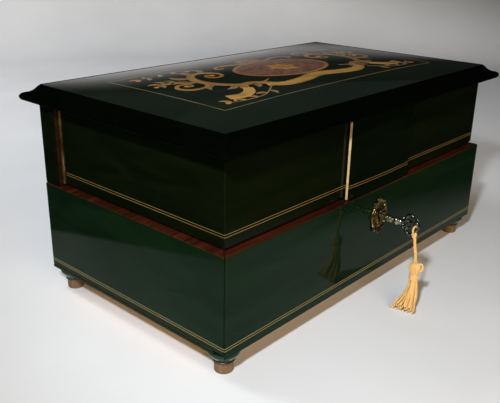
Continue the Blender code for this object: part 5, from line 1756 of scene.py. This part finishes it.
class Marquetry:
    """Marquetry of the lid: a burl medallion, scrolls, leaf sprays, a palmette and a blank ribbon, in mirror pairs."""

    def __init__(self, lid: Lid) -> None:
        """Keep the lid and start one stock for each veneer."""
        self.lid = lid
        self.stocks: dict[Look, MeshStock] = {}

    def build(self) -> None:
        """Lay every motif, then make one piece of each veneer."""
        self.medallion()
        self.ribbon()
        self.scrolls()
        self.sprays()
        self.palmette()
        names = {Look.RIBBON: "lid_ribbon", Look.GOLD: "lid_scrolls", Look.BURL: "lid_medallion",
                 Look.LEAF: "lid_leaves", Look.ORANGE: "lid_flowers", Look.DUSK: "lid_outlines"}
        for look, name in names.items():
            self.stocks[look].piece(name, self.lid.palette[look], "lid", "green_lacquer", 30)

    def strip(self, look: Look, path: Sequence[Sequence[float]], width: Sequence[float] | float, layer: Layer,
              columns: int = 6, mirror: bool = True, loop: bool = False, steps: int = 8) -> None:
        """Lay one strip, and its mirror image across the lid's middle.

        Args:
            look: the veneer.
            path: (x, y) points in millimetres that a smooth curve runs through.
            width: width in millimetres, at one or more even places along the path.
            layer: the layer that it lies in.
            columns: points across the strip.
            mirror: whether a mirror image is laid too.
            loop: whether the path is closed.
            steps: steps of the curve between two points.
        """
        line = smooth_curve(path, steps, loop) / 1000
        widths = np.atleast_1d(np.asarray(width, float)) / 1000
        share = np.linspace(0, 1, len(line))
        wide = np.interp(share, np.linspace(0, 1, len(widths)), widths)
        stock = self.stocks.setdefault(look, MeshStock())
        for sign in ((1, -1) if mirror else (1,)):
            flat = line * np.array([sign, 1.0])
            stock.skin(self.lid.inlay(flat, wide, layer.value, columns, loop), loop=loop)

    def leaf(self, look: Look, start: Sequence[float], end: Sequence[float], bend: float, width: float, layer: Layer,
             mirror: bool = True) -> None:
        """Leaf from a start to an end: a bowed midline whose width swells as sin and narrows to a point.

        Args:
            look: the veneer.
            start: (x, y) of its foot, in millimetres.
            end: (x, y) of its tip.
            bend: how far the midline bows, as a share of its length.
            width: greatest width, in millimetres.
            layer: the layer that it lies in.
            mirror: whether a mirror image is laid too.
        """
        a, b = np.asarray(start, float), np.asarray(end, float)
        way = b - a
        side = np.array([-way[1], way[0]])
        t = np.linspace(0, 1, 7)[:, None]
        path = a + way * t + side * bend * np.sin(math.pi * t)
        share = np.linspace(0, 1, 13)
        self.strip(look, path, width * np.maximum(np.sin(math.pi * share ** 0.8) ** 0.8, 0.03), layer, 6, mirror,
                   steps=4)

    def medallion(self) -> None:
        """Burl oval in a gold and a dark ring, with a rosette of petals."""
        oval = circle(1.0, 24)
        middle = np.array([0.0, 3.0])
        x = np.linspace(-1, 1, 25)
        self.strip(Look.BURL, np.stack([middle[0] + 43.0 * x, middle[1] + 0 * x], axis=-1),
                   2 * 26.0 * np.sqrt(np.maximum(1 - np.linspace(-1, 1, 49) ** 2, 0.0004)), Layer.RIBBON, 18, False,
                   steps=2)
        self.strip(Look.GOLD, middle + oval * np.array([44.2, 27.2]), 2.2, Layer.MEDAL, 4, False, True, 5)
        self.strip(Look.DUSK, middle + oval * np.array([45.8, 28.8]), 0.8, Layer.MEDAL, 3, False, True, 5)
        self.strip(Look.DUSK, middle + oval * np.array([40.4, 23.4]), 0.5, Layer.MEDAL, 3, False, True, 5)
        for number, way in enumerate(circle(1.0, 12)):
            look, reach = (Look.ORANGE, 11.0) if number % 2 else (Look.RIBBON, 14.0)
            self.leaf(look, middle + way * 2.4, middle + way * reach, 0.0, 4.4, Layer.DETAIL, False)
        self.disc(Look.GOLD, middle, 2.6, 2.6, Layer.DETAIL, False)

    def disc(self, look: Look, middle: Sequence[float], half_x: float, half_y: float, layer: Layer,
             mirror: bool = True) -> None:
        """Round or oval spot: a short strip whose width follows the circle.

        Args:
            look: the veneer.
            middle: (x, y) of its middle, in millimetres.
            half_x: half its length.
            half_y: half its width.
            layer: the layer that it lies in.
            mirror: whether a mirror image is laid too.
        """
        x = np.linspace(-1, 1, 13)
        path = np.stack([middle[0] + half_x * x, np.full_like(x, middle[1])], axis=-1)
        self.strip(look, path, 2 * half_y * np.sqrt(np.maximum(1 - np.linspace(-1, 1, 25) ** 2, 0.001)), layer, 6,
                   mirror, steps=2)

    def ribbon(self) -> None:
        """Blank ribbon that waves below the medallion, with folded tails and dark edge lines."""
        wave = [(-56, -30), (-42, -37), (-22, -36), (0, -31), (22, -36), (42, -37), (56, -30)]
        self.strip(Look.RIBBON, wave, (8, 9, 10, 11, 10, 9, 8), Layer.MEDAL, 8, False)
        for offset in (-4.0, 4.0):
            line = [(x, y + offset * (1.1 if abs(x) < 30 else 0.92)) for x, y in wave]
            self.strip(Look.DUSK, line, 0.45, Layer.DETAIL, 3, False)
        self.strip(Look.GOLD, [(53, -27), (60, -21), (69, -21), (75, -28)], (6, 6, 6, 7), Layer.RIBBON)
        self.strip(Look.RIBBON, [(73, -28), (80, -36), (90, -40), (101, -37)], (7, 8, 8, 8), Layer.MEDAL)
        self.strip(Look.DUSK, [(57, -26), (61, -24), (66, -24)], (0.4, 1.2, 0.4), Layer.MEDAL, 3)
        for drop in (-1.8, 0.0, 1.8):
            self.strip(Look.DUSK, [(83, -37 + drop), (91, -39.4 + drop), (97, -38 + drop)], (0.1, 0.5, 0.1),
                       Layer.DETAIL, 3)

    def scrolls(self) -> None:
        """Gold C-scrolls with volutes on either side of the medallion, edged with acanthus leaves."""
        big = [(42, -20), (55, -24), (70, -19), (81, -6), (83, 11), (75, 25), (63, 28), (55, 20), (57, 11), (64, 8),
               (69, 12), (67, 18), (62, 17)]
        self.strip(Look.GOLD, big, (0.6, 2.5, 4.6, 6.0, 6.4, 5.4, 4.2, 3.2, 2.6, 2.2, 2.0, 2.2, 3.0), Layer.SCROLL)
        line = [(48, -21.5), (62, -20.5), (74, -12), (79.5, 4), (76, 19), (67, 25.8), (58, 21)]
        self.strip(Look.DUSK, line, (0.1, 0.6, 0.8, 0.8, 0.7, 0.5, 0.1), Layer.RIBBON, 3)
        small = [(83, 4), (90, -7), (102, -7), (107, 2), (101, 9), (94, 6), (95, 1), (99, 2)]
        self.strip(Look.GOLD, small, (0.6, 2.6, 3.6, 3.4, 2.8, 2.0, 1.6, 2.4), Layer.SCROLL)
        self.disc(Look.ORANGE, (63.0, 15.6), 2.4, 2.4, Layer.MEDAL)
        self.disc(Look.ORANGE, (98.6, 3.4), 1.8, 1.8, Layer.MEDAL)
        acanthus = [((50, -24), (46, -33), 0.2, 4.6), ((62, -23), (66, -32), -0.2, 5.0),
                    ((74, -16), (86, -22), -0.2, 5.4), ((81, -6), (94, -16), 0.2, 5.4), ((83, 8), (96, 20), -0.25, 5.8),
                    ((80, 19), (88, 33), -0.2, 6.2), ((73, 27), (75, 42), 0.2, 5.8), ((63, 29), (58, 42), 0.25, 5.2)]
        for start, end, bend, width in acanthus:
            self.leaf(Look.LEAF, start, end, bend, width, Layer.LEAF)
            self.leaf(Look.DUSK, start, np.asarray(start) * 0.3 + np.asarray(end) * 0.7, bend, 0.7, Layer.SCROLL)

    def sprays(self) -> None:
        """Leaf sprays to the ends, with paired leaves along each stem and berries at the tips."""
        for stem in ([(88, 14), (97, 20), (105, 22), (113, 17)], [(58, -36), (76, -47), (94, -49), (110, -46)],
                     [(54, 36), (68, 47), (88, 48), (108, 42)]):
            self.strip(Look.LEAF, stem, (1.2, 1.1, 0.9, 0.5), Layer.LEAF, 3)
            line = smooth_curve(stem, 6)
            way = unit(np.gradient(line, axis=0))
            for number, index in enumerate(range(3, len(line) - 1, 2)):
                side = np.array([-way[index][1], way[index][0]]) * (1 if number % 2 else -1)
                tip = line[index] + way[index] * 6.0 + side * 6.2
                if abs(tip[0]) > 118 or abs(tip[1]) > 52:
                    continue
                self.leaf(Look.LEAF, line[index], tip, 0.16 if number % 2 else -0.16, 3.6, Layer.LEAF)
            self.disc(Look.ORANGE, line[-1], 1.9, 1.9, Layer.SCROLL)
            self.disc(Look.ORANGE, line[-4] + (0.0, 3.4), 1.3, 1.3, Layer.SCROLL)

    def palmette(self) -> None:
        """Fan of petals behind the medallion, over a small pair of scrolls."""
        root = np.array([0.0, 32.0])
        for number in range(-4, 5):
            angle = math.radians(90 - number * 19)
            reach = 17.0 - abs(number) * 1.3
            tip = root + np.array([math.cos(angle) * reach * 1.2, math.sin(angle) * reach])
            look = Look.GOLD if number % 2 else Look.BURL
            self.leaf(look, root + (tip - root) * 0.18, tip, 0.04 * number, 5.4, Layer.SCROLL, False)
            self.leaf(Look.DUSK, root + (tip - root) * 0.3, root + (tip - root) * 0.8, 0.04 * number, 0.6,
                      Layer.RIBBON, False)
        self.strip(Look.GOLD, [(6, 32), (16, 33), (28, 37), (39, 36), (43, 30), (38, 28)],
                   (3.0, 3.4, 3.0, 2.6, 2.2, 2.8), Layer.RIBBON)
        self.disc(Look.ORANGE, (0.0, 32.0), 3.6, 3.2, Layer.MEDAL, False)


@dataclass
class MovementSizes:
    """Places and sizes of the musical movement."""

    cyl_y: float = 0.05445
    axle_z: float = 0.0993
    cyl_r: float = 0.0065
    comb_x: tuple[float, float] = (-0.0115, 0.0205)
    teeth: int = 18
    pins: int = 190
    pin_places: int = 64
    pin_half: float = 0.00016
    pin_sunk: float = 0.0002
    pin_out: float = 0.00042
    bed_x: float = 0.037
    bed_front: float = 0.02295
    bed_top: float = 0.0893
    comb_t: float = 0.0014
    comb_screw_r: float = 0.0019
    bed_screw_r: float = 0.0024


class Movement(Assembly):
    """Comb movement in the well, under its clear cover."""

    size = MovementSizes()

    def build(self) -> None:
        """Dress the works and add the cylinder's pins and the screws."""
        self.dress(Look.CAST, "movement_bed", "governor_frame")
        self.dress(Look.BRASS, "spring_barrel", "cylinder", "governor_wheel", "governor_fan", "winding_key")
        self.dress(Look.STEEL, "comb", "stop_rod")
        self.dress(Look.CLEAR, "movement_cover")
        self.pins()
        self.screws()

    def pins(self) -> None:
        """Pins of the tune: small four-sided spikes on the cylinder, in line with the comb's teeth."""
        size = self.size
        rng = np.random.default_rng(23)
        pitch = (size.comb_x[1] - size.comb_x[0]) / size.teeth
        tooth = rng.integers(0, size.teeth, size.pins)
        x = size.comb_x[0] + (tooth + 0.65) * pitch
        angle = rng.integers(0, size.pin_places, size.pins) / size.pin_places * TAU
        corner = once_round(4)
        around = angle[:, None] + size.pin_half / size.cyl_r * np.sin(corner)
        side = x[:, None] + size.pin_half * np.cos(corner)
        foot, tip = size.cyl_r - size.pin_sunk, size.cyl_r + size.pin_out
        stock = MeshStock()
        for number in range(size.pins):
            rows = [np.stack([side[number] * share + x[number] * (1 - share), radius * np.cos(around[number]),
                              radius * np.sin(around[number])], axis=-1)
                    for radius, share in ((foot, 1.0), (tip, 0.6))]
            stock.skin(np.array(rows) + np.array([0.0, size.cyl_y, size.axle_z]))
        stock.piece("cylinder_pins", self.palette[Look.STEEL], "cylinder", "steel")

    def screws(self) -> None:
        """Comb screws and the bed's corner screws."""
        size = self.size
        stock = MeshStock()
        top = size.axle_z + size.comb_t / 2
        places = [((float(x), size.bed_front + 0.0040, top), size.comb_screw_r)
                  for x in np.linspace(size.comb_x[0] + 0.005, size.comb_x[1] - 0.005, 3)]
        places += [((x, size.bed_front + behind, size.bed_top), size.bed_screw_r)
                   for x in (-size.bed_x, size.bed_x) for behind in (0.005, 0.055)]
        for place, radius in places:
            for grid in screw(place, Along.Z, radius, 1.0):
                stock.skin(grid)
        stock.piece("movement_screws", self.palette[Look.STEEL], "case", "steel")


def main() -> None:
    """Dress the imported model."""
    logging.basicConfig(level=logging.INFO, format="%(name)s: %(message)s")
    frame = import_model()
    palette = Palette()
    Studio().build(palette[Look.PAPER])
    for kind in (Tassel, BaseCase, Drawer, UpperCase, Lid, Movement):
        kind(frame["nodes"], palette).build()


if __name__ == "__main__":
    main()
